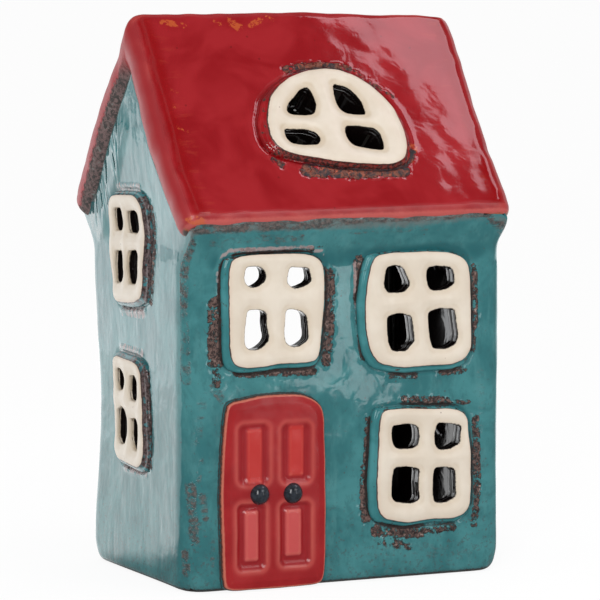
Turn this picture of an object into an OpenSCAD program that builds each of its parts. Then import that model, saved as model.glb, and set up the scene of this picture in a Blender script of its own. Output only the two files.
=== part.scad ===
// Hand-built ceramic house that holds a tealight. The front faces -Y, and the
// origin lies under the middle of the floor. Sizes are in millimetres.

/* [House] */
// Width across the front wall
house_w = 104; // [100:1:120]
// Depth from the front wall to the rear wall
house_d = 73; // [70:1:86]
// Thickness of the walls
wall_t = 4.5; // [3.5:0.5:6]
// Thickness of the floor slab
base_t = 5; // [4:0.5:7]
// Radius of the upright corners
corner_r = 6.5; // [6.5:0.5:9]
// Rounding along the foot of the walls
foot_r = 3; // [1:0.5:4]

/* [Roof] */
// Height of the upper edge of the eaves
eave_h = 109.5; // [108:0.5:125]
// Slope of the roof from level
roof_pitch = 52.5; // [50:0.5:56]
// Thickness of the roof slabs
roof_t = 11; // [9:0.5:12]
// How far the eaves stand out past the front and rear walls
eave_over = 7; // [6:0.5:8]
// How far the roof slabs stand out past the gable walls
rake_over = 1.5; // [0.5:0.5:3]
// Rounding of the roof's ridge and upper edges
roof_r = 3; // [1:0.5:4]
// How far the walls flare out under the eaves
flare_out = 2.5; // [1:0.5:3]
// Radius of that flare
flare_r = 8; // [6:0.5:10]

/* [Window build] */
// How far the window reliefs stand out from the walls and the roof
relief_t = 2.5; // [1.5:0.5:3.5]
// How much a relief narrows on each side from its foot to its face
relief_taper_w = 0.8; // [0.4:0.1:1.2]
// Corner radius of the wall windows
relief_r = 6; // [3:0.5:8]
// Width of the frame round the panes
frame_w = 4.5; // [3.5:0.5:5.5]
// Width of the bars between the panes
bar_w = 5.5; // [4:0.5:7]
// Corner radius of the panes
pane_r = 1.2; // [0.6:0.2:2]
// Share of the glazed height that the upper panes take
upper_pane_share = 0.4; // [0.35:0.05:0.5]

/* [Front windows] */
// Share of the front's width from its middle to the middle of a window
window_x_share = 0.226; // [0.215:0.001:0.235]
// Width of the upper left window
upper_left_w = 30; // [26:0.5:32]
// Width of the upper right window
upper_right_w = 34; // [28:0.5:36]
// Width of the lower right window
lower_right_w = 31; // [27:0.5:34]
// Height of the front windows
front_window_h = 33; // [30:0.5:35]
// Share of the eaves' height at which the upper windows have their middle
upper_row_share = 0.745; // [0.73:0.005:0.75]
// Share of the eaves' height at which the lower window has its middle
lower_row_share = 0.31; // [0.28:0.005:0.33]

/* [Gable windows] */
// Width of the gable windows
gable_window_w = 27; // [24:0.5:30]
// Height of the gable windows
gable_window_h = 32; // [28:0.5:34]
// Share of the eaves' height at which the upper gable window has its middle
gable_upper_share = 0.89; // [0.86:0.005:0.9]
// Share of the eaves' height at which the lower gable window has its middle
gable_lower_share = 0.44; // [0.4:0.005:0.47]

/* [Roof window] */
// Width of the roof window
roof_window_w = 43; // [38:0.5:48]
// Reach of the roof window up the slope from its widest place
roof_window_upper_h = 24; // [21:0.5:25]
// Reach of the roof window down the slope from its widest place
roof_window_lower_h = 10; // [9:0.5:11]
// From the ridge down the slope to the roof window's widest place
roof_window_drop = 44; // [43:0.5:46]
// How far the roof window leans to the right, as the maker set it
roof_window_tilt = 6; // [0:1:8]
// Width of the frame round its panes
roof_frame_w = 5.5; // [4.5:0.5:6.5]
// Width of its upright bar
roof_bar_w = 7.5; // [5:0.5:9]
// Width of its level bar
roof_rail_w = 4.5; // [3.5:0.5:6]
// Height of the level bar above the widest place
roof_rail_h = 5.5; // [4.5:0.5:6.5]

/* [Door] */
// Width of the door
door_w = 32.5; // [28:0.5:34]
// Wall left between the door's head and the window above it
door_head_gap = 8.5; // [7:0.5:12]
// Share of the front's width from its middle to the middle of the door
door_x_share = 0.234; // [0.225:0.001:0.24]
// Gap between the door and the ground
door_gap = 0.6; // [0.4:0.1:2]
// Thickness of the door relief
door_t = 2.5; // [2:0.5:3.5]
// Radius of the door's upper corners
door_r = 3; // [1:0.5:4]
// Width of the upright edges beside the panels, and of the post between them
door_stile_w = 5; // [4:0.5:6]
// Height of the door's top rail
top_rail_h = 8; // [6:0.5:9]
// Height of the rail that carries the knobs
lock_rail_h = 7.5; // [6.5:0.5:9]
// Height of the door's foot rail
foot_rail_h = 6; // [5:0.5:8]
// Share of the panelled height that the upper panels take
upper_panel_share = 0.48; // [0.4:0.01:0.6]
// Depth of the groove round each raised panel
groove_t = 1.3; // [0.8:0.1:1.6]
// Width of that groove
groove_w = 2; // [1.5:0.1:2.4]
// How far a raised panel lies below the door's face
panel_drop = 0.4; // [0.2:0.1:0.6]
// Corner radius of the panels
panel_r = 0.6; // [0.4:0.1:0.8]
// Radius of the door knobs
knob_r = 2.8; // [2.2:0.1:3.2]
// How far the knobs stand out from the door
knob_out = 2.2; // [1.5:0.1:2.8]

/* [Rear opening] */
// Width of the arched opening in the rear wall
arch_w = 58; // [50:1:64]
// From the eaves' upper edge down to the crown of the arch
arch_drop = 11.5; // [10:0.5:16]

/* [Tealight] */
// Diameter of the tealight's cup
cup_d = 38; // [37:0.5:39]
// Height of the cup
cup_h = 15; // [12:0.5:18]
// Thickness of the cup's metal
cup_t = 0.4; // [0.3:0.1:0.6]
// Width of the cup's turned rim
rim_w = 0.7; // [0.4:0.1:1]
// Thickness of the turned rim
rim_t = 0.6; // [0.4:0.1:1]
// Depth of the wax
wax_h = 12.5; // [9:0.5:13]
// Diameter of the wick
wick_d = 1.6; // [1:0.1:2]
// Height of the wick above the wax
wick_out = 6; // [4:0.5:9]
// Diameter of the wick's metal foot
foot_d = 13; // [10:0.5:16]
// Thickness of the wick's foot
foot_t = 0.5; // [0.3:0.1:0.8]
// Diameter of the neck that grips the wick
neck_d = 3; // [2.6:0.1:3.6]
// Height of that neck
neck_h = 3.5; // [2:0.5:5]
// Gap round the wax where it has shrunk from the metal and the wick
wax_gap = 0.1; // [0.1:0.05:0.3]
// Gap under the cup where it rests on the glazed floor
rest_gap = 0.3; // [0.2:0.1:0.5]

/* [Hidden] */

// How far a cut runs past the face that it opens
overrun = 1;
// Steps in a quarter turn of a rounded edge, and in the outline of the roof window
quarter_steps = 6;
outline_steps = 48;

// The roof's profile: sharp ridge, and the corners of the eaves
eave_y = house_d / 2 + eave_over;
ridge_z = eave_h + eave_y * tan(roof_pitch);
slope_l = eave_y / cos(roof_pitch);
crown_c = [0, ridge_z - roof_r / cos(roof_pitch)];
eave_c = [-eave_y, eave_h] + roof_r * [cos(roof_pitch) + sin(roof_pitch), sin(roof_pitch) - cos(roof_pitch)];
under_eave = [eave_y - roof_t * sin(roof_pitch), eave_h - roof_t * cos(roof_pitch)];
under_ridge_z = ridge_z - roof_t / cos(roof_pitch);
roof_w = house_w + 2 * rake_over;

// The flare under the eaves: the height where it meets the roof, and its arc
flare_top_z = under_eave[1] + (house_d / 2 + flare_out - under_eave[0]) / tan(roof_pitch);
flare_angle = acos(1 - flare_out / flare_r);
flare_foot_z = flare_top_z - flare_r * sin(flare_angle);

// Windows as [place across the wall, height of the middle, width, height]
window_x = house_w * window_x_share;
upper_z = eave_h * upper_row_share;
front_windows = [[-window_x, upper_z, upper_left_w, front_window_h],
                 [window_x, upper_z, upper_right_w, front_window_h],
                 [window_x, eave_h * lower_row_share, lower_right_w, front_window_h]];
gable_windows = [[0, eave_h * gable_upper_share, gable_window_w, gable_window_h],
                 [0, eave_h * gable_lower_share, gable_window_w, gable_window_h]];

// How square the roof window's outline is above and below its widest place
outline_top_share = 0.95;
outline_foot_share = 0.6;

// The door ends below the window above it
door_x = -house_w * door_x_share;
door_h = upper_z - front_window_h / 2 - door_head_gap - door_gap;

// The door's panels: their size, and the middles of their rows and columns
panel_w = (door_w - 3 * door_stile_w) / 2;
panelled_h = door_h - top_rail_h - lock_rail_h - foot_rail_h;
upper_panel_h = panelled_h * upper_panel_share;
lower_panel_h = panelled_h - upper_panel_h;
lock_z = foot_rail_h + lower_panel_h + lock_rail_h / 2;
panel_x = (panel_w + door_stile_w) / 2;
panel_rows = [[foot_rail_h + lower_panel_h / 2, lower_panel_h],
              [door_h - top_rail_h - upper_panel_h / 2, upper_panel_h]];

// The knob is the cap of a ball
knob_ball_r = (knob_r * knob_r + knob_out * knob_out) / (2 * knob_out);

// The arch in the rear wall
arch_r = arch_w / 2;
arch_spring_z = eave_h - arch_drop - arch_r;

// Levels inside the tealight
cup_z = base_t + rest_gap;
wax_z = cup_z + cup_t;
wax_r = cup_d / 2 - cup_t - wax_gap;

teal = "#3d8188";
roof_red = "#a3262c";
door_red = "#b3202a";
cream = "#e1d4be";
knob_black = "#23262b";
clay = "#8a6a55";
metal = "#c9cbce";
wax_white = "#f3f0e8";
cotton = "#e9e4d6";

// Points of an arc about c, from one angle to another
function arc(c, r, from, to) =
    [for (i = [0:quarter_steps]) let (a = from + (to - from) * i / quarter_steps)
        c + r * [cos(a), sin(a)]];

// Outline of a rectangle about the origin with round corners
function round_box(w, h, r) = concat(
    arc([w / 2 - r, h / 2 - r], r, 0, 90), arc([r - w / 2, h / 2 - r], r, 90, 180),
    arc([r - w / 2, r - h / 2], r, 180, 270), arc([w / 2 - r, r - h / 2], r, 270, 360));

// Upright rectangle that stands on the ground line, rounded along its foot
function standing_box(w, h) = concat(
    [[w / 2, h], [-w / 2, h]], arc([foot_r - w / 2, foot_r], foot_r, 180, 270),
    arc([w / 2 - foot_r, foot_r], foot_r, 270, 360));

// Half-round outline: an arch above its widest place and a flatter foot below it
function half_round(w, top, foot) =
    [for (i = [0:outline_steps - 1]) let (a = 360 * i / outline_steps, c = cos(a), s = sin(a))
        s > 0 ? [sign(c) * w / 2 * pow(abs(c), outline_top_share), top * pow(s, outline_top_share)]
              : [sign(c) * w / 2 * pow(abs(c), outline_foot_share), -foot * pow(-s, outline_foot_share)]];

// A profile drawn in Y and Z, run along X; and one drawn in X and Z, run along Y
module along_x(l) rotate([90, 0, 90]) linear_extrude(l, center = true) children();
module along_y(l) rotate([90, 0, 0]) linear_extrude(l, center = true) children();

// Frames on the faces: x across the face, y up it, z out of it
module on_front(x, z) translate([x, -house_d / 2, z]) rotate([90, 0, 0]) children();
module on_left(y, z) translate([-house_w / 2, y, z]) rotate([90, 0, -90]) children();
module on_right(y, z) translate([house_w / 2, y, z]) rotate([90, 0, 90]) children();
module on_roof(drop) translate([0, 0, ridge_z]) rotate([roof_pitch, 0, 0])
    translate([0, -drop, 0]) children();

// The four panes of a wall window, as cutters t long
module panes(w, h, t) {
    pane_w = (w - 2 * frame_w - bar_w) / 2;
    glazed_h = h - 2 * frame_w - bar_w;
    upper_h = glazed_h * upper_pane_share;
    lower_h = glazed_h - upper_h;
    for (side = [-1, 1]) {
        translate([side * (pane_w + bar_w) / 2, h / 2 - frame_w - upper_h / 2, 0])
            linear_extrude(t) polygon(round_box(pane_w, upper_h, pane_r));
        translate([side * (pane_w + bar_w) / 2, frame_w + lower_h / 2 - h / 2, 0])
            linear_extrude(t) polygon(round_box(pane_w, lower_h, pane_r));
    }
}

// The relief round the panes of a wall window
module window_relief(w, h) {
    difference() {
        linear_extrude(relief_t, scale = [(w - 2 * relief_taper_w) / w, (h - 2 * relief_taper_w) / h])
            polygon(round_box(w, h, relief_r));
        translate([0, 0, -overrun]) panes(w, h, relief_t + 2 * overrun);
    }
}

// Cutters for the panes behind a list of windows, through a wall
module window_cuts(windows) {
    for (place = windows) translate([place[0], place[1], -wall_t - overrun])
        panes(place[2], place[3], wall_t + 2 * overrun);
}

module roof_outline(inset) {
    rotate([0, 0, -roof_window_tilt])
        polygon(half_round(roof_window_w - 2 * inset, roof_window_upper_h - inset, roof_window_lower_h - inset));
}

// The four panes of the roof window, as cutters t long
module roof_panes(t) {
    difference() {
        linear_extrude(t) roof_outline(roof_frame_w);
        translate([-roof_bar_w / 2, -roof_window_w, -overrun])
            cube([roof_bar_w, 2 * roof_window_w, t + 2 * overrun]);
        translate([-roof_window_w, roof_rail_h - roof_rail_w / 2, -overrun])
            cube([2 * roof_window_w, roof_rail_w, t + 2 * overrun]);
    }
}

// The block that the outside of the four walls is cut from
module house_block() {
    intersection() {
        linear_extrude(ridge_z) polygon(round_box(house_w, house_d, corner_r));
        along_x(house_w + overrun) polygon(standing_box(house_d, ridge_z));
        along_y(house_d + overrun) polygon(standing_box(house_w, ridge_z));
    }
}

module house_inside(h) {
    linear_extrude(h) polygon(round_box(house_w - 2 * wall_t, house_d - 2 * wall_t, corner_r - wall_t));
}

// Everything that the roof slabs take up, and all above them
module roof_space() {
    along_x(house_w + 4 * overrun) polygon([
        [0, under_ridge_z], [under_eave[0], under_eave[1]], [eave_y, eave_h], [eave_y, ridge_z + overrun],
        [-eave_y, ridge_z + overrun], [-eave_y, eave_h], [-under_eave[0], under_eave[1]]]);
}

// The share of the wall ring that one wall takes, mitred at the corners
module wall(plan) {
    difference() {
        intersection() {
            house_block();
            translate([0, 0, -overrun]) linear_extrude(ridge_z + 2 * overrun) polygon(plan);
        }
        translate([0, 0, -overrun]) house_inside(ridge_z + 2 * overrun);
        roof_space();
    }
}

// The front wall's plan; mirrored, it is the rear wall's
module long_wall() {
    out = [house_w / 2 + overrun, house_d / 2 + overrun];
    in = [house_w / 2 - corner_r, house_d / 2 - corner_r];
    wall([[-out[0], -out[1]], [out[0], -out[1]], [in[0], -in[1]], [-in[0], -in[1]]]);
    along_x(house_w - 2 * corner_r) polygon(concat(
        arc([-house_d / 2 - flare_r, flare_foot_z], flare_r, 0, flare_angle),
        [[-house_d / 2, under_eave[1] + (house_d / 2 - under_eave[0]) / tan(roof_pitch)]]));
}

// The left gable wall's plan; mirrored, it is the right gable wall's
module gable_wall() {
    out = [house_w / 2 + overrun, house_d / 2 + overrun];
    in = [house_w / 2 - corner_r, house_d / 2 - corner_r];
    wall([[-out[0], -out[1]], [-in[0], -in[1]], [-in[0], in[1]], [-out[0], out[1]]]);
}

// The front roof slab, rounded at the ridge, the eave and the rakes
module roof_slab() {
    roof_corners = concat(
        arc([roof_r - roof_w / 2, roof_r - slope_l], roof_r, 180, 270),
        arc([roof_w / 2 - roof_r, roof_r - slope_l], roof_r, 270, 360),
        [[roof_w / 2, overrun], [-roof_w / 2, overrun]]);
    roof_section = concat(
        arc([roof_w / 2 - roof_r, -roof_r], roof_r, 0, 90),
        arc([roof_r - roof_w / 2, -roof_r], roof_r, 90, 180),
        [[-roof_w / 2, -roof_t - overrun], [roof_w / 2, -roof_t - overrun]]);
    intersection() {
        along_x(roof_w + overrun) polygon(concat(
            arc(crown_c, roof_r, 90, 90 + roof_pitch), arc(eave_c, roof_r, 90 + roof_pitch, 180 + roof_pitch),
            [[-under_eave[0], under_eave[1]], [0, under_ridge_z]]));
        on_roof(0) translate([0, 0, -roof_t - overrun])
            linear_extrude(roof_t + 2 * overrun) polygon(roof_corners);
        on_roof(slope_l / 2) along_y(slope_l + 4 * roof_t) polygon(roof_section);
    }
}

module base_slab() color(clay) house_inside(base_t);

module front_wall() color(teal) difference() {
    long_wall();
    on_front(0, 0) window_cuts(front_windows);
}

module rear_wall() color(teal) difference() {
    mirror([0, 1, 0]) long_wall();
    translate([0, house_d / 2, 0]) along_y(2 * wall_t + 2 * overrun) polygon(concat(
        arc([0, arch_spring_z], arch_r, 0, 90), arc([0, arch_spring_z], arch_r, 90, 180),
        [[-arch_r, base_t], [arch_r, base_t]]));
}

module left_gable_wall() color(teal) difference() {
    gable_wall();
    on_left(0, 0) window_cuts(gable_windows);
}

module right_gable_wall() color(teal) difference() {
    mirror([1, 0, 0]) gable_wall();
    on_right(0, 0) window_cuts(gable_windows);
}

module front_roof_slab() color(roof_red) difference() {
    roof_slab();
    on_roof(roof_window_drop) translate([0, 0, -roof_t - overrun]) roof_panes(roof_t + 2 * overrun);
}

module rear_roof_slab() color(roof_red) mirror([0, 1, 0]) roof_slab();

module front_window(place) color(cream)
    on_front(place[0], place[1]) window_relief(place[2], place[3]);
module left_window(place) color(cream)
    on_left(place[0], place[1]) window_relief(place[2], place[3]);
module right_window(place) color(cream)
    on_right(place[0], place[1]) window_relief(place[2], place[3]);

module roof_window() color(cream) on_roof(roof_window_drop) difference() {
    linear_extrude(relief_t, scale = (roof_window_w - 2 * relief_taper_w) / roof_window_w) roof_outline(0);
    translate([0, 0, -overrun]) roof_panes(relief_t + 2 * overrun);
}

module front_door() color(door_red) on_front(door_x, door_gap) difference() {
    linear_extrude(door_t) polygon(concat(
        arc([door_w / 2 - door_r, door_h - door_r], door_r, 0, 90),
        arc([door_r - door_w / 2, door_h - door_r], door_r, 90, 180),
        [[-door_w / 2, 0], [door_w / 2, 0]]));
    for (side = [-1, 1], row = panel_rows) translate([side * panel_x, row[0], door_t - groove_t]) difference() {
        linear_extrude(groove_t + overrun) polygon(round_box(panel_w, row[1], panel_r));
        translate([0, 0, -overrun]) linear_extrude(overrun + groove_t - panel_drop)
            polygon(round_box(panel_w - 2 * groove_w, row[1] - 2 * groove_w, panel_r));
    }
}

module door_knob(side) color(knob_black)
    on_front(door_x + side * panel_x, door_gap + lock_z) translate([0, 0, door_t]) difference() {
        translate([0, 0, knob_out - knob_ball_r]) sphere(knob_ball_r, $fn = 48);
        translate([-2 * knob_r, -2 * knob_r, -4 * knob_r]) cube([4 * knob_r, 4 * knob_r, 4 * knob_r]);
    }

module tealight_cup() color(metal) translate([0, 0, cup_z]) rotate_extrude($fn = 96) polygon([
    [0, 0], [cup_d / 2, 0], [cup_d / 2, cup_h - rim_t], [cup_d / 2 + rim_w, cup_h - rim_t],
    [cup_d / 2 + rim_w, cup_h], [cup_d / 2 - cup_t, cup_h], [cup_d / 2 - cup_t, cup_t], [0, cup_t]]);

// The wax is poured round the wick and its foot
module tealight_wax() color(wax_white) translate([0, 0, wax_z]) difference() {
    cylinder(h = wax_h, r = wax_r, $fn = 96);
    translate([0, 0, -overrun]) cylinder(h = wax_h + 2 * overrun, r = wick_d / 2 + wax_gap, $fn = 32);
    translate([0, 0, -overrun]) cylinder(h = neck_h + wax_gap + overrun, r = neck_d / 2 + wax_gap, $fn = 32);
    translate([0, 0, -overrun]) cylinder(h = foot_t + wax_gap + overrun, r = foot_d / 2 + wax_gap, $fn = 48);
}

module wick() color(cotton) translate([0, 0, wax_z]) cylinder(h = wax_h + wick_out, r = wick_d / 2, $fn = 32);

module wick_sustainer() color(metal) translate([0, 0, wax_z]) rotate_extrude($fn = 48) polygon([
    [wick_d / 2, 0], [foot_d / 2, 0], [foot_d / 2, foot_t], [neck_d / 2, foot_t],
    [neck_d / 2, neck_h], [wick_d / 2, neck_h]]);

base_slab();
front_wall();
rear_wall();
left_gable_wall();
right_gable_wall();
front_roof_slab();
rear_roof_slab();
front_window(front_windows[0]);  // window_front_upper_left
front_window(front_windows[1]);  // window_front_upper_right
front_window(front_windows[2]);  // window_front_lower_right
left_window(gable_windows[0]);  // window_left_upper
left_window(gable_windows[1]);  // window_left_lower
right_window(gable_windows[0]);  // window_right_upper
right_window(gable_windows[1]);  // window_right_lower
roof_window();
front_door();
door_knob(-1);  // door_knob_left
door_knob(1);  // door_knob_right
tealight_cup();
tealight_wax();
wick();
wick_sustainer();
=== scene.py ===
import math
import bpy
import numpy as np
from mathutils import Matrix, Vector


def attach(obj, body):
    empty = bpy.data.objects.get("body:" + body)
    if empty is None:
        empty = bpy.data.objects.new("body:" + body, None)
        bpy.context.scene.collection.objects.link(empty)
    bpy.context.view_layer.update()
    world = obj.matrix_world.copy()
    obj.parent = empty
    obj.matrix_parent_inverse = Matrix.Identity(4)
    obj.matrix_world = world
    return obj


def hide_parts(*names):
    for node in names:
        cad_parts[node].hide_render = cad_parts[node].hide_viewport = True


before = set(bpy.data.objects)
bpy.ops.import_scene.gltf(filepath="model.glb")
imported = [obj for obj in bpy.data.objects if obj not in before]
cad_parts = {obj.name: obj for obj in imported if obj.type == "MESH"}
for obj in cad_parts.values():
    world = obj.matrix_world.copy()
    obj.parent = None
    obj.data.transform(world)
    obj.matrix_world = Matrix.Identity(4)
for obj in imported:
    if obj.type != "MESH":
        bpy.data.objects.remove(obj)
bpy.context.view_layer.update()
mm = 0.001
scene = bpy.context.scene

# Sizes are in millimetres. Each face has its own flat frame: a to the right, b upwards, c outwards.

house = {
    "halfWidth": 52,
    "halfDepth": 36.5,
    "wall": 4.5,
    "floor": 5,
    "corner": 6.5,
    "foot": 3,
    "pitch": 52.5,
    "ridge": 166.2,
    "roofHalfWidth": 53.5,
    "roofThickness": 11,
    "slope": 71.5,
    "roofEdge": 2.8,
    "embed": 0.8,
}
pitch = math.radians(house["pitch"])


def frameMatrix(origin, a, b, c):
    turn = Matrix((a, b, c)).transposed().to_4x4()
    return Matrix.Translation(Vector(origin) * mm) @ turn


faces = {
    "front": frameMatrix((0, -house["halfDepth"], 0), (1, 0, 0), (0, 0, 1), (0, -1, 0)),
    "rear": frameMatrix((0, house["halfDepth"], 0), (-1, 0, 0), (0, 0, 1), (0, 1, 0)),
    "left": frameMatrix((-house["halfWidth"], 0, 0), (0, -1, 0), (0, 0, 1), (-1, 0, 0)),
    "right": frameMatrix((house["halfWidth"], 0, 0), (0, 1, 0), (0, 0, 1), (1, 0, 0)),
    "roof": frameMatrix((0, 0, house["ridge"]), (1, 0, 0), (0, math.cos(pitch), math.sin(pitch)),
                        (0, -math.sin(pitch), math.cos(pitch))),
}


# Working helpers: each does what one would do by hand in the viewport

def clearSelection():
    if bpy.context.object and bpy.context.object.mode != "OBJECT":
        bpy.ops.object.mode_set(mode="OBJECT")
    bpy.ops.object.select_all(action="DESELECT")


def selectOnly(piece):
    clearSelection()
    piece.select_set(True)
    bpy.context.view_layer.objects.active = piece


def editAll(piece):
    selectOnly(piece)
    bpy.ops.object.mode_set(mode="EDIT")
    bpy.ops.mesh.select_all(action="SELECT")


def endEdit():
    bpy.ops.object.mode_set(mode="OBJECT")


def keepPlace(piece):
    selectOnly(piece)
    bpy.ops.object.transform_apply(location=True, rotation=True, scale=True)
    return piece


def applyModifier(piece, kind, **settings):
    modifier = piece.modifiers.new(kind.title(), kind)
    for name, value in settings.items():
        setattr(modifier, name, value)
    selectOnly(piece)
    bpy.ops.object.modifier_apply(modifier=modifier.name)


def addBlock(name, low, high):
    clearSelection()
    bpy.ops.mesh.primitive_cube_add(size=mm)
    block = bpy.context.object
    block.name = name
    block.location = [(a + b) / 2 * mm for a, b in zip(low, high)]
    block.scale = [b - a for a, b in zip(low, high)]
    return keepPlace(block)


def bevelEdges(piece, test, width, segments=5):
    selectOnly(piece)
    bpy.context.tool_settings.mesh_select_mode = (False, True, False)
    bpy.ops.object.mode_set(mode="EDIT")
    bpy.ops.mesh.select_all(action="DESELECT")
    endEdit()
    points = piece.data.vertices
    for edge in piece.data.edges:
        edge.select = test(points[edge.vertices[0]].co / mm, points[edge.vertices[1]].co / mm)
    bpy.ops.object.mode_set(mode="EDIT")
    bpy.ops.mesh.bevel(offset=width * mm, segments=segments, affect="EDGES")
    endEdit()
    bpy.context.tool_settings.mesh_select_mode = (True, False, False)


def shapedPlate(name, outline, low, high, footSpread=0, footHigh=0.4):
    clearSelection()
    bpy.ops.mesh.primitive_circle_add(vertices=len(outline), radius=0.01, fill_type="NGON")
    plate = bpy.context.object
    plate.name = name
    for vertex, (a, b) in zip(plate.data.vertices, outline):
        vertex.co = (a * mm, b * mm, low * mm)
    editAll(plate)
    if footSpread:
        least, most = np.min(outline, 0), np.max(outline, 0)
        spread = (*(most - least + 2 * footSpread) / (most - least), 1)
        centre = (*(least + most) / 2 * mm, 0)
        bpy.ops.transform.resize(value=spread, center_override=centre)
        bpy.ops.mesh.extrude_region_move(TRANSFORM_OT_translate={"value": (0, 0, (footHigh - low) * mm)})
        bpy.ops.mesh.extrude_region_move(TRANSFORM_OT_translate={"value": (0, 0, (high - footHigh) * mm)})
        bpy.ops.transform.resize(value=[1 / s for s in spread], center_override=centre)
    else:
        bpy.ops.mesh.extrude_region_move(TRANSFORM_OT_translate={"value": (0, 0, (high - low) * mm)})
    bpy.ops.mesh.select_all(action="SELECT")
    bpy.ops.mesh.normals_make_consistent(inside=False)
    endEdit()
    return plate


def cutOut(piece, cutters):
    for cutter in cutters:
        applyModifier(piece, "BOOLEAN", object=cutter, operation="DIFFERENCE", solver="EXACT")
        bpy.data.objects.remove(cutter)


def cutByPlane(piece, point, outward):
    # takes away what lies on the outward side of a plane and closes the cut
    editAll(piece)
    bpy.ops.mesh.bisect(plane_co=[p * mm for p in point], plane_no=outward, use_fill=True, clear_outer=True)
    endEdit()


def remesh(piece, cell, passes):
    applyModifier(piece, "REMESH", mode="VOXEL", voxel_size=cell * mm, use_smooth_shade=True)
    applyModifier(piece, "SMOOTH", factor=0.5, iterations=passes)


def lumps(piece, size, height, depth=2, group=""):
    texture = bpy.data.textures.new(f"lumps{size}", "CLOUDS")
    texture.noise_scale = size * mm
    texture.noise_depth = depth
    texture.noise_basis = "BLENDER_ORIGINAL"
    applyModifier(piece, "DISPLACE", texture=texture, strength=height * mm, mid_level=0.5,
                  texture_coords="LOCAL", vertex_group=group)
    bpy.data.textures.remove(texture)


def readPoints(piece):
    points = np.empty(len(piece.data.vertices) * 3)
    piece.data.vertices.foreach_get("co", points)
    return points.reshape(-1, 3) / mm


def writePoints(piece, points):
    piece.data.vertices.foreach_set("co", (points * mm).ravel())
    piece.data.update()


def readNormals(piece):
    normals = np.empty(len(piece.data.vertices) * 3)
    piece.data.vertex_normals.foreach_get("vector", normals)
    return normals.reshape(-1, 3)


def writeMask(piece, name, values):
    mask = piece.data.attributes.get(name) or piece.data.attributes.new(name, "FLOAT", "POINT")
    mask.data.foreach_set("value", values.astype(np.float32))


def writeMasks(piece, **masks):
    for name, values in masks.items():
        writeMask(piece, name, values)


def writeGroup(piece, name, values):
    group = piece.vertex_groups.new(name=name)
    for step in range(1, 11):
        near = np.nonzero(np.round(values * 10) == step)[0]
        if len(near):
            group.add(near.tolist(), step / 10, "REPLACE")


def averaged(piece, values, rounds):
    edges = np.empty(len(piece.data.edges) * 2, dtype=np.int64)
    piece.data.edges.foreach_get("vertices", edges)
    edges = edges.reshape(-1, 2)
    total = len(piece.data.vertices)
    count = np.maximum(np.bincount(edges.ravel(), minlength=total), 1)
    for i in range(rounds):
        if values.ndim == 1:
            near = (np.bincount(edges[:, 0], values[edges[:, 1]], total)
                    + np.bincount(edges[:, 1], values[edges[:, 0]], total))
            values = 0.5 * values + 0.5 * near / count
        else:
            near = np.stack([np.bincount(edges[:, 0], values[edges[:, 1], k], total)
                             + np.bincount(edges[:, 1], values[edges[:, 0], k], total) for k in range(3)], 1)
            values = near / count[:, None]
    return values


def writeBend(piece, cell, rounds=4):
    # how sharply the surface turns, per millimetre: above 0 on edges, below 0 in hollows
    points = readPoints(piece)
    step = ((points - averaged(piece, points, 1)) * readNormals(piece)).sum(1)
    writeMask(piece, "bend", averaged(piece, step * 4 / cell ** 2, rounds))


def ramp(values, low, high):
    share = np.clip((values - low) / (high - low), 0, 1)
    return share * share * (3 - 2 * share)


def fromOutline(flat, outline):
    # the way from the nearest place on an outline in its own face, and its length, below 0 inside the outline
    best, way = np.full(len(flat), 1e9), np.zeros((len(flat), 2))
    inside = np.zeros(len(flat), bool)
    ring = np.array(outline, float)
    for start, end in zip(ring, np.roll(ring, -1, 0)):
        side = end - start
        along = np.clip(((flat - start) @ side) / (side @ side), 0, 1)
        here = flat - start - along[:, None] * side
        length = np.hypot(*here.T)
        nearer = length < best
        best[nearer], way[nearer] = length[nearer], here[nearer]
        crosses = (start[1] > flat[:, 1]) != (end[1] > flat[:, 1])
        if side[1]:
            inside ^= crosses & (flat[:, 0] < start[0] + (flat[:, 1] - start[1]) * side[0] / side[1])
    return way, np.where(inside, -best, best)


def outlineDistance(flat, outline):
    return fromOutline(flat, outline)[1]


def towards(way, sides):
    # blends four amounts, for left, right, down and up, by the way that a point lies
    share = way / np.maximum(np.hypot(*way.T), 1e-6)[:, None]
    left, right, down, up = sides
    return (np.where(share[:, 0] < 0, left, right) * share[:, 0] ** 2
            + np.where(share[:, 1] < 0, down, up) * share[:, 1] ** 2)


def footedDistance(flat, window):
    # as outlineDistance, but counted so that the foot's edge lies equally far everywhere
    way, away = fromOutline(flat, window["outline"])
    return away + np.where(away > 0, relief["footSpread"] * (1 - towards(way, window["foot"])) * ramp(away, 0, 0.3),
                           0)


def pressedRim(away, amount, shape):
    # a ridge and a groove run round the reliefs, where the clay was pressed on
    ridge = shape["ridge"] * amount * np.exp(-((away - shape["ridgeAt"]) / shape["ridgeWide"]) ** 2)
    return ridge - shape["groove"] * np.exp(-((away - shape["grooveAt"]) / shape["grooveWide"]) ** 2)


def toFace(points, face):
    back = np.array(faces[face].inverted())
    return points @ back[:3, :3].T + back[:3, 3] / mm


def softened(outline, reach):
    # cuts the corners of a drawn outline, twice
    for cut in (reach, reach / 2):
        ring = np.array(outline, float)
        side = np.roll(ring, -1, 0) - ring
        share = np.minimum(cut / np.linalg.norm(side, axis=1), 0.28)[:, None]
        outline = np.stack([ring + side * share, ring + side * (1 - share)], 1).reshape(-1, 2)
    return [tuple(point) for point in outline]


def strokeWeight(flat, strokes):
    # 0 to 1 along drawn strokes, each (from, to, half width, strength)
    weight = np.zeros(len(flat))
    for start, end, wide, strength in strokes:
        start = np.array(start, float)
        side = np.array(end, float) - start
        along = np.clip(((flat - start) @ side) / (side @ side), 0, 1)
        away = np.hypot(*(flat - start - along[:, None] * side).T)
        weight = np.maximum(weight, strength * (1 - ramp(away, 0.5 * wide, 1.4 * wide)))
    return weight


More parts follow.
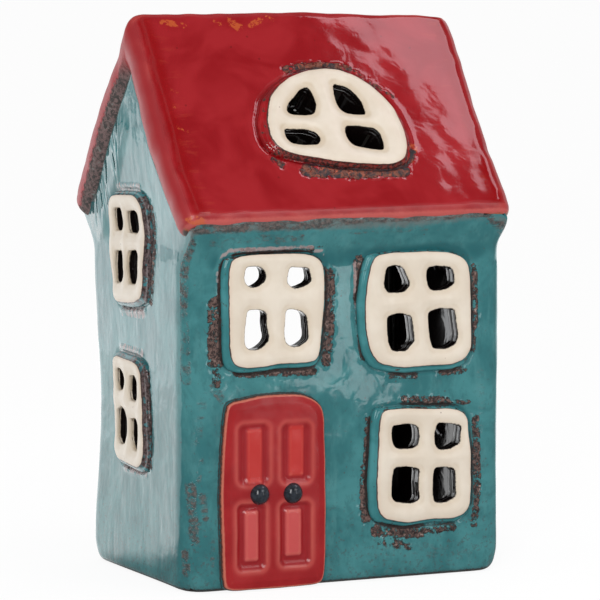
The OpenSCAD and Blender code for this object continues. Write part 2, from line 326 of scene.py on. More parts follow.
# Where the handmade house leans away from the drawing: pairs of (height or place along the front, move)

warp = {
    "roofShift": [(95, 0), (108, -1.2), (125, -2.1), (166, -2.4)],
    "rearLeft": [(0, -1.3), (12, -1.7), (28, -0.2), (47, 1.0), (65, 0), (89, -1.2), (104, -0.9)],
    "wallShift": 0.75,
    "leftRake": [(94, 0), (103, 1.6), (112, 1.0), (125, 0.2), (140, 0.7), (152, 1.2), (166, 0.7)],
    "rightRake": [(94, 0), (104, -0.9), (112, -0.8), (145, -0.6), (166, -0.1)],
    "ridgeRise": [(-58, 0.4), (-52, 2.0), (-46, 2.4), (-38, 2.4), (8, 2.2), (27, 1.0), (50, 0.3)],
    "lift": 0.5,
}


def bentLine(values, pairs, soft):
    at, amount = zip(*pairs)
    return np.mean([np.interp(values + step, at, amount) for step in np.linspace(-soft, soft, 11)], 0)


def warpHouse(piece):
    points = readPoints(piece)
    x, y, z = points.T.copy()
    points[:, 0] += (bentLine(z, warp["roofShift"], 6)
                     + bentLine(z, warp["rearLeft"], 8) * ramp(-x, -10, 45) * ramp(y, -25, 36)
                     + bentLine(z, warp["leftRake"], 3) * ramp(-x, 20, 50) * (1 - ramp(y, -5, 45))
                     + bentLine(z, warp["rightRake"], 3) * ramp(x, 20, 50) + warp["wallShift"])
    points[:, 2] += bentLine(x, warp["ridgeRise"], 4) * ramp(z, 112, 168) + warp["lift"] * ramp(z, 2, 22)
    writePoints(piece, points)


def finishPiece(piece, material, body, nodes):
    piece.data.materials.clear()
    piece.data.materials.append(material)
    piece.vertex_groups.clear()
    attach(piece, body)
    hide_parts(*nodes)


# The windows' outlines, as the maker cut them. "foot" is how wide the foot is to the left, right, bottom and top, and
# "bareFoot" how bare it is there. "dish" is how far the face sinks to its panes, "crust" where the glaze crawled off
# the clay beside them, and "pale" where a bare ridge of clay shows, its paleness partly a painted highlight.

windows = {
    "window_front_upper_left": {
        "face": "front", "bareFoot": (0, 0.55, 0.1, 1), "foot": (0.92, 0.45, 0.8, 0.1), "dish": 1,
        "outline": [(-37.4, 97.4), (-35.3, 98.2), (-30, 98.5), (-21, 98.5), (-14.8, 98.2), (-11, 97.3), (-8.9, 95.3),
                    (-8.4, 90), (-8.6, 83), (-9.2, 76), (-9.8, 70.4), (-10.6, 67.2), (-13, 66.4), (-22.8, 66.4),
                    (-27, 65.9), (-31.4, 65.6), (-35.6, 66.1), (-37.6, 67.8), (-38.2, 71.5), (-38.3, 80), (-38.5, 91),
                    (-38.2, 95.5)],
        "panes": [[(-33.2, 95), (-31.6, 95.2), (-29, 95.1), (-27.4, 94), (-26.8, 92.4), (-27.1, 90.8), (-28.5, 89.9),
                   (-29.9, 89.1), (-31.9, 89.2), (-33.2, 90.1), (-33.7, 91.9)],
                  [(-19.1, 94.5), (-13.1, 94), (-12.8, 92.3), (-12.3, 90.1), (-14, 89.1), (-16.8, 88.2),
                   (-18.8, 88.5),
                   (-20.1, 90), (-19.7, 92.4)],
                  [(-32.7, 82.3), (-29.3, 82.5), (-27.1, 81.8), (-26.5, 80.4), (-26.9, 78.5), (-26.4, 75.9),
                   (-26, 73.8),
                   (-26.4, 72.8), (-28.8, 70.9), (-31.3, 70.7), (-33, 71.3), (-33.6, 73.4), (-33.4, 77)],
                  [(-20.4, 82), (-18.3, 82.1), (-15.4, 81.2), (-14, 80), (-13.7, 77.4), (-13.4, 74), (-13.6, 72.7),
                   (-16.6, 71), (-19.1, 71.2), (-20.7, 72.5), (-20.9, 75.1), (-20.7, 79)]],
        "crust": [((-37, 99), (-12, 99.3), 1, 0.6), ((-40.2, 96), (-40.4, 87), 1.3, 0.85),
                  ((-42.1, 84), (-42.2, 68), 2.7, 1), ((-41.6, 67), (-41.9, 61), 1.8, 0.7),
                  ((-5.8, 92), (-5.9, 74), 1.9, 1), ((-5.9, 74), (-6.8, 66), 1.8, 0.95),
                  ((-35, 63.8), (-11, 63.3), 1.5, 0.9),
                  ((-37, 100.2), (-9, 100.1), 1.1, 0.6)],
        "pale": [((-41.2, 98.2), (-38.4, 100.3), 0.6, 1.1), ((-38.4, 100.3), (-14, 100.7), 0.65, 1.2),
                 ((-14, 100.7), (-7.8, 98.2), 0.6, 1.1), ((-41.6, 94), (-41.5, 91), 0.7, 0.7)],
    },
    "window_front_upper_right": {
        "face": "front", "bareFoot": (0, 0.35, 0, 0.4), "foot": (0.95, 0.3, 0.85, 0.2), "dish": 1,
        "outline": [(8.8, 96.7), (14.1, 97.4), (25.4, 97.3), (32.6, 96.8), (36.8, 95.3), (38.6, 93), (39.2, 87),
                    (39.6, 77.3), (39.7, 68), (37.7, 64.8), (33.1, 63.5), (25.5, 63.5), (18.4, 63.3), (14.2, 63.8),
                    (9.4, 65), (6.8, 68.5), (5.5, 74.1), (5.1, 82.1), (5.8, 88.5), (7.1, 94)],
        "panes": [[(12.1, 93.2), (15, 93.6), (17.4, 92.8), (18.5, 90.2), (19.7, 87.7), (18, 86), (16.9, 85.5),
                   (12.2, 85.7), (11.1, 87.8), (11.4, 90.5)],
                  [(25.4, 92.5), (28.3, 92.9), (32.8, 92.3), (33.8, 91.2), (34.2, 87.3), (31.2, 85.8), (26.7, 85.6),
                   (25.6, 87), (24.9, 90.2)],
                  [(12.3, 78.4), (16.4, 79.4), (20.1, 78.2), (20.5, 75.6), (21.1, 70.7), (19.8, 69.7), (18.4, 68),
                   (13.8, 68.2), (12.7, 70.8), (12.2, 75.4)],
                  [(25.7, 79.1), (29, 80.1), (34.2, 79.8), (34.8, 75.9), (35.4, 71.7), (34.8, 69.4), (31.8, 68.1),
                   (27.3, 68.3), (26.2, 71.1), (25.7, 75.4)]],
        "crust": [((3.6, 95.5), (3.3, 84), 1.6, 1), ((3.6, 84), (4.9, 66), 0.9, 0.6),
                  ((41.6, 92), (42, 74), 1.2, 0.8),
                  ((42, 74), (41.4, 67), 0.9, 0.6), ((14, 60.4), (22, 60.2), 1.1, 0.75),
                  ((31, 60.4), (38.5, 61), 1.1, 0.8)],
        "pale": [((2.5, 95), (2.3, 86), 0.6, 0.9), ((2.6, 83), (3.4, 79), 0.5, 0.7)],
    },
    "window_front_lower_right": {
        "face": "front", "bareFoot": (0, 0.4, 0.1, 0.45), "foot": (1.05, 0.35, 0.6, 0.25), "dish": 1,
        "outline": [(11.4, 50.6), (17.1, 50.9), (26.5, 50.2), (32.6, 50), (36.6, 49), (38.6, 47), (39, 41.5),
                    (39.6, 36.9), (39.8, 27.6), (39.6, 20.8), (37.5, 18.2), (34.1, 17.1), (27.3, 17.4), (19.2, 16.8),
                    (14.9, 17.6), (10.9, 18.7), (9.4, 21.6), (9.1, 28), (9.5, 37.1), (9.8, 44.7), (10.4, 49.2)],
        "panes": [[(14, 45.9), (19.2, 46.2), (22.2, 45.4), (22.8, 42.5), (22.5, 39.9), (20.5, 38.7), (15.2, 39.1),
                   (14.1, 41.1), (13.8, 43.6)],
                  [(28.7, 45.9), (32.6, 45.6), (36.7, 44.6), (36.3, 41.7), (36.2, 39.4), (32.7, 37.9), (29.3, 37.8),
                   (28.1, 39.4), (27.8, 42.2)],
                  [(14.5, 33.3), (19.2, 33.3), (22.9, 32.4), (22.4, 28.4), (22.9, 23.2), (20.2, 22.3), (14.9, 23.1),
                   (13.9, 24.7), (14, 30.8)],
                  [(27.9, 32.5), (30.6, 32.6), (34.5, 31.9), (34.8, 27.9), (34.9, 23.3), (31.4, 21.8), (28, 22.1),
                   (27.3, 25.3), (27.4, 29.9)]],
        "crust": [((18.5, 53.2), (33, 52.2), 1.4, 0.85), ((33, 52), (40, 51.2), 1, 0.7),
                  ((6.5, 48), (6, 33), 1.1, 0.85),
                  ((6, 33), (6.2, 18.5), 2.1, 1), ((42.3, 46), (43, 24), 1.6, 0.88),
                  ((42.9, 24), (42, 14.5), 1.4, 0.8),
                  ((9.5, 14.8), (24, 13.4), 2.1, 1), ((26.5, 13.6), (35, 13.9), 1.4, 0.75),
                  ((11, 11.5), (20, 9.5), 1.8, 0.6)],
        "pale": [((9.5, 51.6), (15, 53.5), 0.8, 0.6)],
    },
    "window_left_upper": {
        "face": "left", "bareFoot": (0.2, 0.72, 0.3, 0.4), "foot": (0.5, 1, 0.7, 0.6), "dish": 1,
        "outline": [(-14.6, 110.8), (-12, 112.6), (-8.3, 113.2), (1, 113.8), (4.4, 114), (7.4, 112.8), (9.4, 110.4),
                    (9.7, 103), (9.8, 95), (9.6, 88), (8.2, 84.2), (3.4, 82.4), (-2.2, 81.7), (-10.4, 81.4),
                    (-12.6, 83), (-14, 90), (-15.4, 98.4), (-15.4, 106)],
        "panes": [[(-12.4, 109), (-7.2, 109.6), (-6.2, 108), (-6, 104.6), (-7, 102.8), (-12.2, 102.2), (-12.8, 105)],
                  [(-2.8, 108.8), (3, 109.6), (5.2, 108.6), (5.4, 104), (3.6, 102.6), (-2.8, 102.4), (-3.4, 105.6)],
                  [(-12, 96.2), (-6.8, 96.8), (-5.6, 94), (-5, 90), (-6.2, 87.6), (-9.4, 86.6), (-11.8, 87),
                   (-12.2, 91)],
                  [(-2.4, 97), (3.4, 97.8), (5.6, 96.2), (5.4, 90), (3.8, 87.6), (-1.8, 87.2), (-3.2, 91),
                   (-3, 94.6)]],
        "crust": [((13.4, 111), (13.8, 92), 1.3, 0.85), ((13.8, 92), (12.2, 83), 1.3, 0.8),
                  ((-9, 79.6), (7, 80), 1.2, 0.55)],
        "pale": [((-10, 115.2), (5, 116.2), 1.7, 0.85), ((-10, 78), (6, 78.8), 1.5, 0.85)],
    },
    "window_left_lower": {
        "face": "left", "bareFoot": (0.2, 0.72, 0.3, 0.4), "foot": (0.5, 1, 0.7, 0.6), "dish": 1,
        "outline": [(-14.8, 63.4), (-12.5, 64.5), (-6.7, 64.3), (1.9, 64.1), (4.9, 63.2), (6.9, 61.4), (7.5, 55.6),
                    (8.3, 47.7), (8.9, 38), (7.5, 34.4), (4.4, 33.1), (-2.7, 33.2), (-11.9, 33.8), (-14.8, 36.6),
                    (-15.1, 44.7), (-15.5, 52.8), (-15.4, 60.6)],
        "panes": [[(-13.3, 60.6), (-10.1, 61.2), (-7.3, 59.6), (-6.3, 57.4), (-7.5, 55), (-11.9, 54), (-13.3, 55)],
                  [(-2.5, 59.6), (1.2, 60.2), (3.6, 58.6), (3.5, 53.8), (2.3, 52.4), (-2.7, 52.2), (-3.5, 54.6)],
                  [(-13.3, 48.2), (-9.7, 49.6), (-6.9, 48.6), (-4.9, 46), (-4.8, 42), (-6.3, 38.6), (-10.7, 38),
                   (-13.3, 40)],
                  [(-2.3, 46.8), (2.3, 47.4), (3.9, 45.8), (4.1, 41.8), (3.5, 37.4), (-0.1, 37.8), (-2.3, 41)]],
        "crust": [((9.4, 62), (10.5, 46), 1.2, 0.7), ((10.5, 46), (10.9, 34), 1.3, 0.85),
                  ((-10.5, 31.6), (5.5, 31.2), 1.1, 0.55)],
        "pale": [((-11, 66.6), (4, 67), 1.9, 0.95), ((-9, 30.8), (7, 31.2), 1.2, 0.75)],
    },
    "roof_window": {
        "face": "roof", "bareFoot": (0.1, 0.35, 0.9, 0.45), "foot": (1.3, 0.75, 0.25, 0.35), "dish": 1.5,
        "outline": [(-15.6, -32.4), (-11.9, -28.6), (-7.2, -25.5), (-1.7, -23.6), (3.8, -23), (9, -23.5),
                    (13.5, -25.3), (17.6, -28.5), (20.8, -32.3), (23.1, -36.5), (24, -41.5), (24.2, -46),
                    (23.5, -50.2),
                    (22, -53.3), (19.6, -54.9), (16.6, -55.7), (12.3, -55.5), (6.5, -55), (0.1, -54.2),
                    (-6, -52.8), (-11.3, -51.7), (-15.7, -50.1), (-18.1, -47.7), (-18.9, -44.4), (-18.4, -39.1)],
        "panes": [[(-2.8, -28.6), (-2, -29.7), (-1.5, -32.2), (-1.4, -34.7), (-2.8, -37.6), (-5.1, -38.1),
                   (-8.4, -38),
                   (-10.9, -37.5), (-11.4, -36.1), (-10.2, -34), (-7.6, -31.7), (-5.4, -29.6)],
                  [(5.9, -27.8), (10.1, -29), (11.9, -30.8), (13.6, -34), (13.8, -38.4), (10.7, -38.2), (7.5, -37.9),
                   (5.7, -36.3), (5.2, -33.8), (5.5, -30.2)],
                  [(-14, -42.5), (-10.4, -42.7), (-7.1, -42.8), (-4.2, -44), (-3.5, -45.1), (-3.2, -46.4),
                   (-4.6, -48), (-9.6, -48), (-12.9, -47.2), (-14.1, -45.4)],
                  [(6.2, -41.9), (10.2, -42.2), (15, -42.9), (16.3, -44.3), (16.7, -47.5), (16.1, -50.5),
                   (11.3, -49.9),
                   (6.8, -48.6), (5.4, -46.4), (5.3, -43.6)]],
        "crust": [((-7.3, -21.8), (0.2, -20.3), 1.4, 0.85), ((0.2, -20.3), (13.2, -21.6), 1.4, 0.95),
                  ((15.2, -22.8), (25.2, -31.5), 0.9, 0.7),
                  ((21.2, -55.3), (25.2, -51.2), 1.7, 1.05), ((-9.8, -55.6), (4.2, -57), 2.2, 1.15),
                  ((4.2, -57.1), (20.7, -57), 2.2, 1.15),
                  ((-19.6, -51.7), (-16.8, -53.9), 1.1, 0.85)],
        "pale": [],
    },
}
for place in ("upper", "lower"):
    match = windows[f"window_left_{place}"]
    windows[f"window_right_{place}"] = {
        "face": "right", "dish": match["dish"],
        **{kind: (match[kind][1], match[kind][0], *match[kind][2:]) for kind in ("foot", "bareFoot")},
        "outline": [(-a, b) for a, b in match["outline"]][::-1],
        "panes": [[(-a, b) for a, b in pane][::-1] for pane in match["panes"]],
        **{kind: [((-p[0], p[1]), (-q[0], q[1]), wide, much) for p, q, wide, much in match[kind]]
           for kind in ("crust", "pale")},
    }

for window in windows.values():
    window["outline"] = softened(window["outline"], 0.8)
    window["panes"] = [softened(pane, 0.5) for pane in window["panes"]]

relief = {"thickness": 2.5, "embed": 1.2, "footSpread": 2.3, "cell": 0.32, "smoothing": 4, "dish": 0.6,
          "dishWide": 2.3,
          "front": (0.8, 1.6), "soft": 0.35, "softSpan": (-2.2, 0.2), "lumps": (7, 0.35, 1)}

door = {
    "outline": [(-39.2, 53.6), (-38.2, 55.4), (-34.7, 55.8), (-31.8, 56.3), (-28.4, 56.9), (-22.6, 57), (-17.2, 56.8),
                (-14, 56.2), (-10.3, 54.2), (-8.5, 51.3), (-8.2, 42.4), (-8, 30.7), (-7.9, 19), (-8.1, 7.4),
                (-8.4, 2.6),
                (-10, 0.8), (-21, 0.7), (-33.5, 0.7), (-39.2, 1), (-40.2, 2.7), (-40.5, 11.6), (-40.8, 21.2),
                (-41, 29), (-40.5, 40.5), (-39.8, 49)],
    "thickness": 2.5, "embed": 1, "cell": 0.34, "smoothing": 4, "groove": 1, "footSpread": 0.5, "lumps": (9, 0.3, 1),
    "front": (0.9, 1.7), "soft": 0.35, "softSpan": (-2.4, -0.2), "panelCorner": 1.6, "fieldCorner": 1.2,
    # the upper and the lower panels: how far the field stands up, and over which way the groove and the field rise
    "rows": [{"raise": 0.75, "groove": (-1.5, 1.2), "field": (-1.3, 0.8)},
             {"raise": 0.9, "groove": (-1.1, 0.9), "field": (-1.3, 0.6)}],
    "panels": [((-35.6, 31.6), (-26.6, 48.6)), ((-21.9, 31.4), (-13.1, 48.2)),
               ((-36.1, 6.6), (-27.6, 25.3)), ((-22.5, 7.1), (-13.1, 25))],
    "fields": [((-33.6, 31.2), (-27.8, 48)), ((-20.3, 32.4), (-14.5, 48.3)),
               ((-34.3, 8.5), (-29.1, 23.9)), ((-21.3, 9.3), (-15.4, 23.6))],
    "knobs": {"door_knob_left": (-29.2, 28.2), "door_knob_right": (-18.6, 27.9)},
    "knobRadius": 3.1, "knobOut": 2.2, "knobEmbed": 0.6,
}
door["outline"] = softened(door["outline"], 1.6)


def panesOf(face):
    return [pane for window in windows.values() if window["face"] == face for pane in window["panes"]]


def paneCutters(name, panes, low, high, widen=0):
    cutters = []
    for number, pane in enumerate(panes):
        middle = np.mean(pane, 0)
        wide = np.ptp(np.array(pane), 0)
        outline = [tuple(middle + (np.array(p) - middle) * (wide + 2 * widen) / wide) for p in pane]
        cutters.append(shapedPlate(f"{name}{number}", outline, low, high))
    return cutters


# The walls are shaped as one ring, so that the glaze runs round the corners, and parted at the mitres afterwards

walls = {
    "cell": 0.58, "smoothing": 6, "paneSlack": 0.2, "archHalf": 29, "archSpring": 69,
    "ridge": 0.45, "ridgeAt": 3.7, "ridgeWide": 0.8, "groove": 0.4, "grooveAt": 2.7, "grooveWide": 0.5,
    # size, height, fineness and place of the handmade lumps
    "lumps": [(36, 0.9, 1, "lumpy"), (13, 0.22, 2, "lumpy"), (4.5, 0.05, 2, "lumpy"), (1.4, 1.1, 2, "crust")],
    # brown breaks in the front's teal: under the eaves, down the left corner, beside the door
    "stains": [((-50, 107.4), (-8, 107.8), 2.4, 0.95), ((-8, 107.8), (46, 108.2), 1.6, 0.92),
               ((-45, 102.6), (-16, 103.4), 1.6, 0.62),
               ((0, 104.2), (25, 104.4), 1, 0.6), ((47, 107), (51.5, 102.5), 2, 0.85),
               ((-50.9, 103), (-51.2, 84), 1.4, 0.85),
               ((-51, 84), (-50.5, 62), 1.5, 0.6), ((-49.4, 31.5), (-48.5, 15), 1.5, 0.85),
               ((-46.4, 28.5), (-45.4, 22), 1.4, 0.7),
               ((-47.4, 20), (-45.6, 17), 1.1, 0.6), ((-50.6, 12), (-50.4, 5.5), 1, 0.8),
               ((-43, 60), (-40.5, 57), 1.6, 0.75),
               ((-46.6, 40), (-47.4, 33), 1, 0.6), ((-43, 15), (-43.4, 8), 1, 0.6), ((-46, 60), (-48, 44), 2.2, 0.45),
               ((-35, 100.5), (-12, 100.5), 2.4, 0.4), ((8, 9), (40, 7), 3, 0.4), ((44, 60), (45, 30), 2, 0.4)],
    # where the gable's glaze ripples under the rear rake
    "ripples": [((-8, 133), (-26, 105), 6, 1)],
}

# How the long walls lift and flare out under the eaves, and how the corners draw in at the foot. A pair of numbers
# says over which millimetres a move comes in.
flare = {
    "reach": 8, "rightSide": (-20, 50), "lift": 7.4, "liftRight": 0.2, "liftDepth": (32, 36.5),
    "liftHigh": (93, 102.5),
    "out": 5.2, "high": (93, 108.5), "curve": 1.2, "square": 0.85, "squareDepth": (30, 33), "squareFrom": 44,
    "gable": 1.3, "gableEdge": (44, 52), "gableHigh": (98, 105),
}
tuck = {"by": 1.2, "wide": (42, 52), "deep": (26, 36.5), "high": (0, 7)}


def buildRing():
    w, d, t = house["halfWidth"], house["halfDepth"], house["wall"]
    ring = addBlock("ring", (-w, -d, 0), (w, d, 170))
    bevelEdges(ring, lambda p, q: abs(p.z - q.z) > 100, house["corner"], 7)
    bevelEdges(ring, lambda p, q: p.z < 0.01 and q.z < 0.01, house["foot"], 4)
    inner = addBlock("inner", (t - w, t - d, -5), (w - t, d - t, 180))
    bevelEdges(inner, lambda p, q: abs(p.z - q.z) > 100, 2.5, 4)
    half, turns = walls["archHalf"], [i * math.pi / 20 for i in range(21)]
    bow = [(-half * math.cos(turn), walls["archSpring"] + half * math.sin(turn)) for turn in turns]
    arch = shapedPlate("arch", [(-half, house["floor"]), *bow, (half, house["floor"])], -8, 8)
    arch.data.transform(faces["rear"])
    cutters = [inner, arch]
    for face in ("front", "left", "right"):
        for cutter in paneCutters(face, panesOf(face), -8, 5, walls["paneSlack"]):
            cutter.data.transform(faces[face])
            cutters.append(cutter)
    cutOut(ring, cutters)
    under = house["roofThickness"] / math.cos(pitch) - house["embed"] / math.cos(pitch)
    for side in (-1, 1):
        cutByPlane(ring, (0, 0, house["ridge"] - under), (0, side * math.sin(pitch), math.cos(pitch)))
    remesh(ring, walls["cell"], walls["smoothing"])
    return ring


def shapeRing(ring):
    points = readPoints(ring)
    normals = readNormals(ring)
    x, y, z = points.T.copy()
    outside = np.maximum(np.abs(x) - (house["halfWidth"] - house["wall"] / 2),
                         np.abs(y) - (house["halfDepth"] - house["wall"] / 2)) > 0
    # the long walls flare out under the eaves, most at the right, and the foot is rounder at the corners
    wide, deep = np.abs(x), np.abs(y)
    long = deep > house["halfDepth"] - flare["reach"]
    lift = flare["lift"] + flare["liftRight"] * ramp(x, *flare["rightSide"])
    points[long, 2] += (lift * ramp(deep, *flare["liftDepth"]) * ramp(z, *flare["liftHigh"]))[long]
    z = points[:, 2].copy()
    rise = ramp(z, *flare["high"]) ** flare["curve"]
    squarer = flare["square"] * (house["halfDepth"] - deep) * ramp(deep, *flare["squareDepth"])
    squarer = squarer * (wide > flare["squareFrom"])
    points[long, 1] += (np.sign(y) * (flare["out"] + squarer) * rise)[long]
    points[:, 0] += flare["gable"] * ramp(x, *flare["gableEdge"]) * ramp(z, *flare["gableHigh"])
    drawn = tuck["by"] * ramp(wide, *tuck["wide"]) * ramp(deep, *tuck["deep"]) * (1 - ramp(z, *tuck["high"]))
    points[:, 0] -= np.sign(x) * drawn
    points[:, 1] -= np.sign(y) * drawn
    nearest = np.full(len(points), 30.0)
    doorAway = np.full(len(points), 30.0)
    crust, pale, stain, ripple, dark = (np.zeros(len(points)) for mask in range(5))
    for face in ("front", "left", "right"):
        flat = toFace(points, face)
        outward = np.array(faces[face])[:3, 2]
        facing = np.nonzero((normals @ outward > 0.35) & (np.abs(flat[:, 2]) < 7))[0]
        spots = flat[facing][:, :2]
        for window in windows.values():
            if window["face"] == face:
                nearest[facing] = np.minimum(nearest[facing], footedDistance(spots, window))
                crust[facing] = np.maximum(crust[facing], strokeWeight(spots, window["crust"]))
                pale[facing] = np.maximum(pale[facing], strokeWeight(spots, window["pale"]))
        if face == "front":
            doorAway[facing] = outlineDistance(spots, door["outline"])
            stain[facing] = strokeWeight(spots, walls["stains"])
        elif face == "left":
            ripple[facing] = strokeWeight(spots, walls["ripples"])
        push = pressedRim(nearest[facing], np.maximum(crust, pale)[facing], walls)
        points[facing] += push[:, None] * outward
        through = np.nonzero((flat[:, 2] < -0.25) & (flat[:, 2] > -house["wall"] - 1))[0]
        hole = np.min([outlineDistance(flat[through][:, :2], pane) for pane in panesOf(face)], 0)
        dark[through] = np.maximum(dark[through], 0.75 * (1 - ramp(hole, 0.9, 1.4)))
    writePoints(ring, points)
    writeGroup(ring, "lumpy", ramp(z, 0.3, 6) * (0.35 + 0.65 * outside))
    writeGroup(ring, "crust", crust)
    for kind in walls["lumps"]:
        lumps(ring, *kind)
    points = readPoints(ring)
    points[:, 2] = np.maximum(points[:, 2], 0)
    writePoints(ring, points)
    warpHouse(ring)
    writeMasks(ring, fromRelief=nearest, fromDoor=doorAway, crustAmount=crust, paleAmount=pale, stainAmount=stain,
               rippleAmount=ripple, dark=averaged(ring, np.maximum(dark, 1 - outside), 1))
    writeBend(ring, walls["cell"], 8)


def keepNormals(piece):
    kept = piece.data.attributes.new("keptNormal", "FLOAT_VECTOR", "POINT")
    kept.data.foreach_set("vector", readNormals(piece).ravel())


def useKeptNormals(piece):
    kept = np.empty(len(piece.data.vertices) * 3)
    piece.data.attributes["keptNormal"].data.foreach_get("vector", kept)
    kept = kept.reshape(-1, 3)
    kept /= np.maximum(np.linalg.norm(kept, axis=1), 1e-6)[:, None]
    piece.data.normals_split_custom_set_from_vertices(kept.tolist())
    piece.data.attributes.remove(piece.data.attributes["keptNormal"])


def partPiece(source, name, planes):
    selectOnly(source)
    bpy.ops.object.duplicate()
    part = bpy.context.object
    part.name = name
    part.data.name = name
    for point, outward in planes:
        cutByPlane(part, point, outward)
    useKeptNormals(part)
    return part


print("walls: shaping the ring")
ring = buildRing()
shapeRing(ring)
keepNormals(ring)
cornerX, cornerY = house["halfWidth"] - house["wall"], house["halfDepth"] - house["wall"]
wallParts = {}
for name, (sideX, sideY) in {"front_wall": (0, -1), "rear_wall": (0, 1), "left_gable_wall": (-1, 0),
                             "right_gable_wall": (1, 0)}.items():
    planes = []
    for side in (-1, 1):
        if sideY:
            planes.append(((side * cornerX, sideY * cornerY, 0), (side, -sideY, 0)))
        else:
            planes.append(((sideX * cornerX, side * cornerY, 0), (-sideX, side, 0)))
    wallParts[name] = partPiece(ring, name + "Glazed", planes)
bpy.data.objects.remove(ring)
print("walls: parted into", len(wallParts))


# The roof is shaped whole in the same way and parted along the ridge

roof = {
    "cell": 0.6, "smoothing": 14, "bulge": 1.9, "bulgeBack": 0.5, "bulgeReach": (9, 1),
    "ridge": 0.35, "ridgeAt": 3.8, "ridgeWide": 0.9, "groove": 0.35, "grooveAt": 2.7, "grooveWide": 0.5,
    "lumps": [(40, 0.7, 1, "lumpy"), (9, 0.16, 1, "lumpy"), (11, 1.1, 1, "rim"), (1.7, 2.1, 2, "crust")],
    # orange breaks near the ridge, and at the foot of the left rake
    "breaks": [((-42.6, -4.6), (-36, -6), 1.2, 0.85), ((-25.2, -4.8), (-24.2, -5.4), 1, 0.8),
               ((-20.4, -4.8), (-18.4, -7), 1.7, 0.9),
               ((-14.2, -6.4), (-10.6, -4.4), 1.2, 0.85), ((-8.2, -3.6), (-6.6, -4.4), 0.9, 0.75),
               ((-52.5, -70.4), (-48.5, -71.6), 1.6, 0.85),
               ((22.5, -55), (26.5, -49), 2, 0.6), ((-47.5, -27), (-44, -28.5), 0.7, 0.4),
               ((-47.3, -33), (-43, -34.6), 0.7, 0.48),
               ((-47.9, -40), (-43, -42), 0.8, 0.52), ((-48.2, -44), (-44.5, -45), 0.6, 0.42)],
}


def buildRoof():
    c, s = math.cos(pitch), math.sin(pitch)
    eave = (-house["slope"] * c, house["ridge"] - house["slope"] * s)
    under = (eave[0] + house["roofThickness"] * s, eave[1] - house["roofThickness"] * c)
    top = house["ridge"]
    low = top - house["roofThickness"] / c
    profile = [eave, (0, top), (-eave[0], eave[1]), (-under[0], under[1]), (0, low), under]
    block = shapedPlate("roofBlock", profile, -house["roofHalfWidth"], house["roofHalfWidth"])
    # the profile lies in y and z, and its length runs along x
    block.data.transform(Matrix(((0, 0, 1, 0), (1, 0, 0, 0), (0, 1, 0, 0), (0, 0, 0, 1))))
    bevelEdges(block, lambda p, q: True, house["roofEdge"], 4)
    cutters = paneCutters("roofPane", panesOf("roof"), -16, 6, walls["paneSlack"])
    for cutter in cutters:
        cutter.data.transform(faces["roof"])
    cutOut(block, cutters)
    remesh(block, roof["cell"], roof["smoothing"])
    return block


def shapeRoof(block):
    points = readPoints(block)
    normals = readNormals(block)
    flat = toFace(points, "roof")
    window = windows["roof_window"]
    nearest, crust, breaks, dark = np.full(len(points), 30.0), *(np.zeros(len(points)) for mask in range(3))
    outward = np.array(faces["roof"])[:3, 2]
    facing = np.nonzero((normals @ outward > 0.2) & (points[:, 1] < -0.5))[0]
    spots = flat[facing][:, :2]
    nearest[facing] = footedDistance(spots, window)
    crust[facing] = strokeWeight(spots, window["crust"])
    breaks[facing] = strokeWeight(spots, roof["breaks"])
    push = pressedRim(nearest[facing], 0.3 + crust[facing], roof)
    both = toFace(np.stack([points[:, 0], -np.abs(points[:, 1]), points[:, 2]], 1), "roof")
    depth = both[:, 2].copy()
    # the flat top is made true before the lumps, so that the glaze mirrors evenly
    inward = np.minimum(house["roofHalfWidth"] - np.abs(points[:, 0]),
                        np.minimum(-both[:, 1], house["slope"] + both[:, 1]))
    true = ramp(inward, 3, 4.5) * (np.abs(depth) < 0.5)
    points[:, 1] += np.sign(points[:, 1]) * -depth * true * math.sin(pitch)
    points[:, 2] -= depth * true * math.cos(pitch)
    points[facing] += push[:, None] * outward
    # the ends bulge between their edges
    across = np.clip(np.abs(2 * depth / house["roofThickness"] + 1), 0, 1)
    ends = ramp(np.abs(points[:, 0]), *(house["roofHalfWidth"] - reach for reach in roof["bulgeReach"]))
    points[:, 0] -= np.sign(points[:, 0]) * (roof["bulge"] * across ** 2 - roof["bulgeBack"]) * ends
    through = np.nonzero((depth < -0.4) & (points[:, 1] < -1))[0]
    hole = np.min([outlineDistance(flat[through][:, :2], pane) for pane in window["panes"]], 0)
    dark[through] = 1 - ramp(hole, 0.9, 1.4)
    within = np.abs(points[:, :2]) < (house["halfWidth"] - 2, house["halfDepth"] - 2)
    inside = (depth < 1 - house["roofThickness"]) & within.all(1)
    dark[inside] = 1
    writePoints(block, points)
    writeGroup(block, "lumpy", np.where(depth < 1.5 - house["roofThickness"], 0.3, 1.0))
    writeGroup(block, "crust", crust)
    writeGroup(block, "rim", 1 - ramp(inward, 0.5, 4))
    for kind in roof["lumps"]:
        lumps(block, *kind)
    warpHouse(block)
    writeMasks(block, fromRelief=nearest, crustAmount=crust, breakAmount=breaks, dark=averaged(block, dark, 1),
               depth=-depth, fromRake=house["roofHalfWidth"] - np.abs(points[:, 0]),
               fromLeft=house["roofHalfWidth"] + points[:, 0], fromEave=house["slope"] + both[:, 1])
    writeBend(block, roof["cell"], 8)


print("roof: shaping the slabs")
block = buildRoof()
shapeRoof(block)
keepNormals(block)
roofParts = {
    "front_roof_slab": partPiece(block, "front_roof_slabGlazed", [((0, 0, 0), (0, 1, 0))]),
    "rear_roof_slab": partPiece(block, "rear_roof_slabGlazed", [((0, 0, 0), (0, -1, 0))]),
}
bpy.data.objects.remove(block)


# Window reliefs

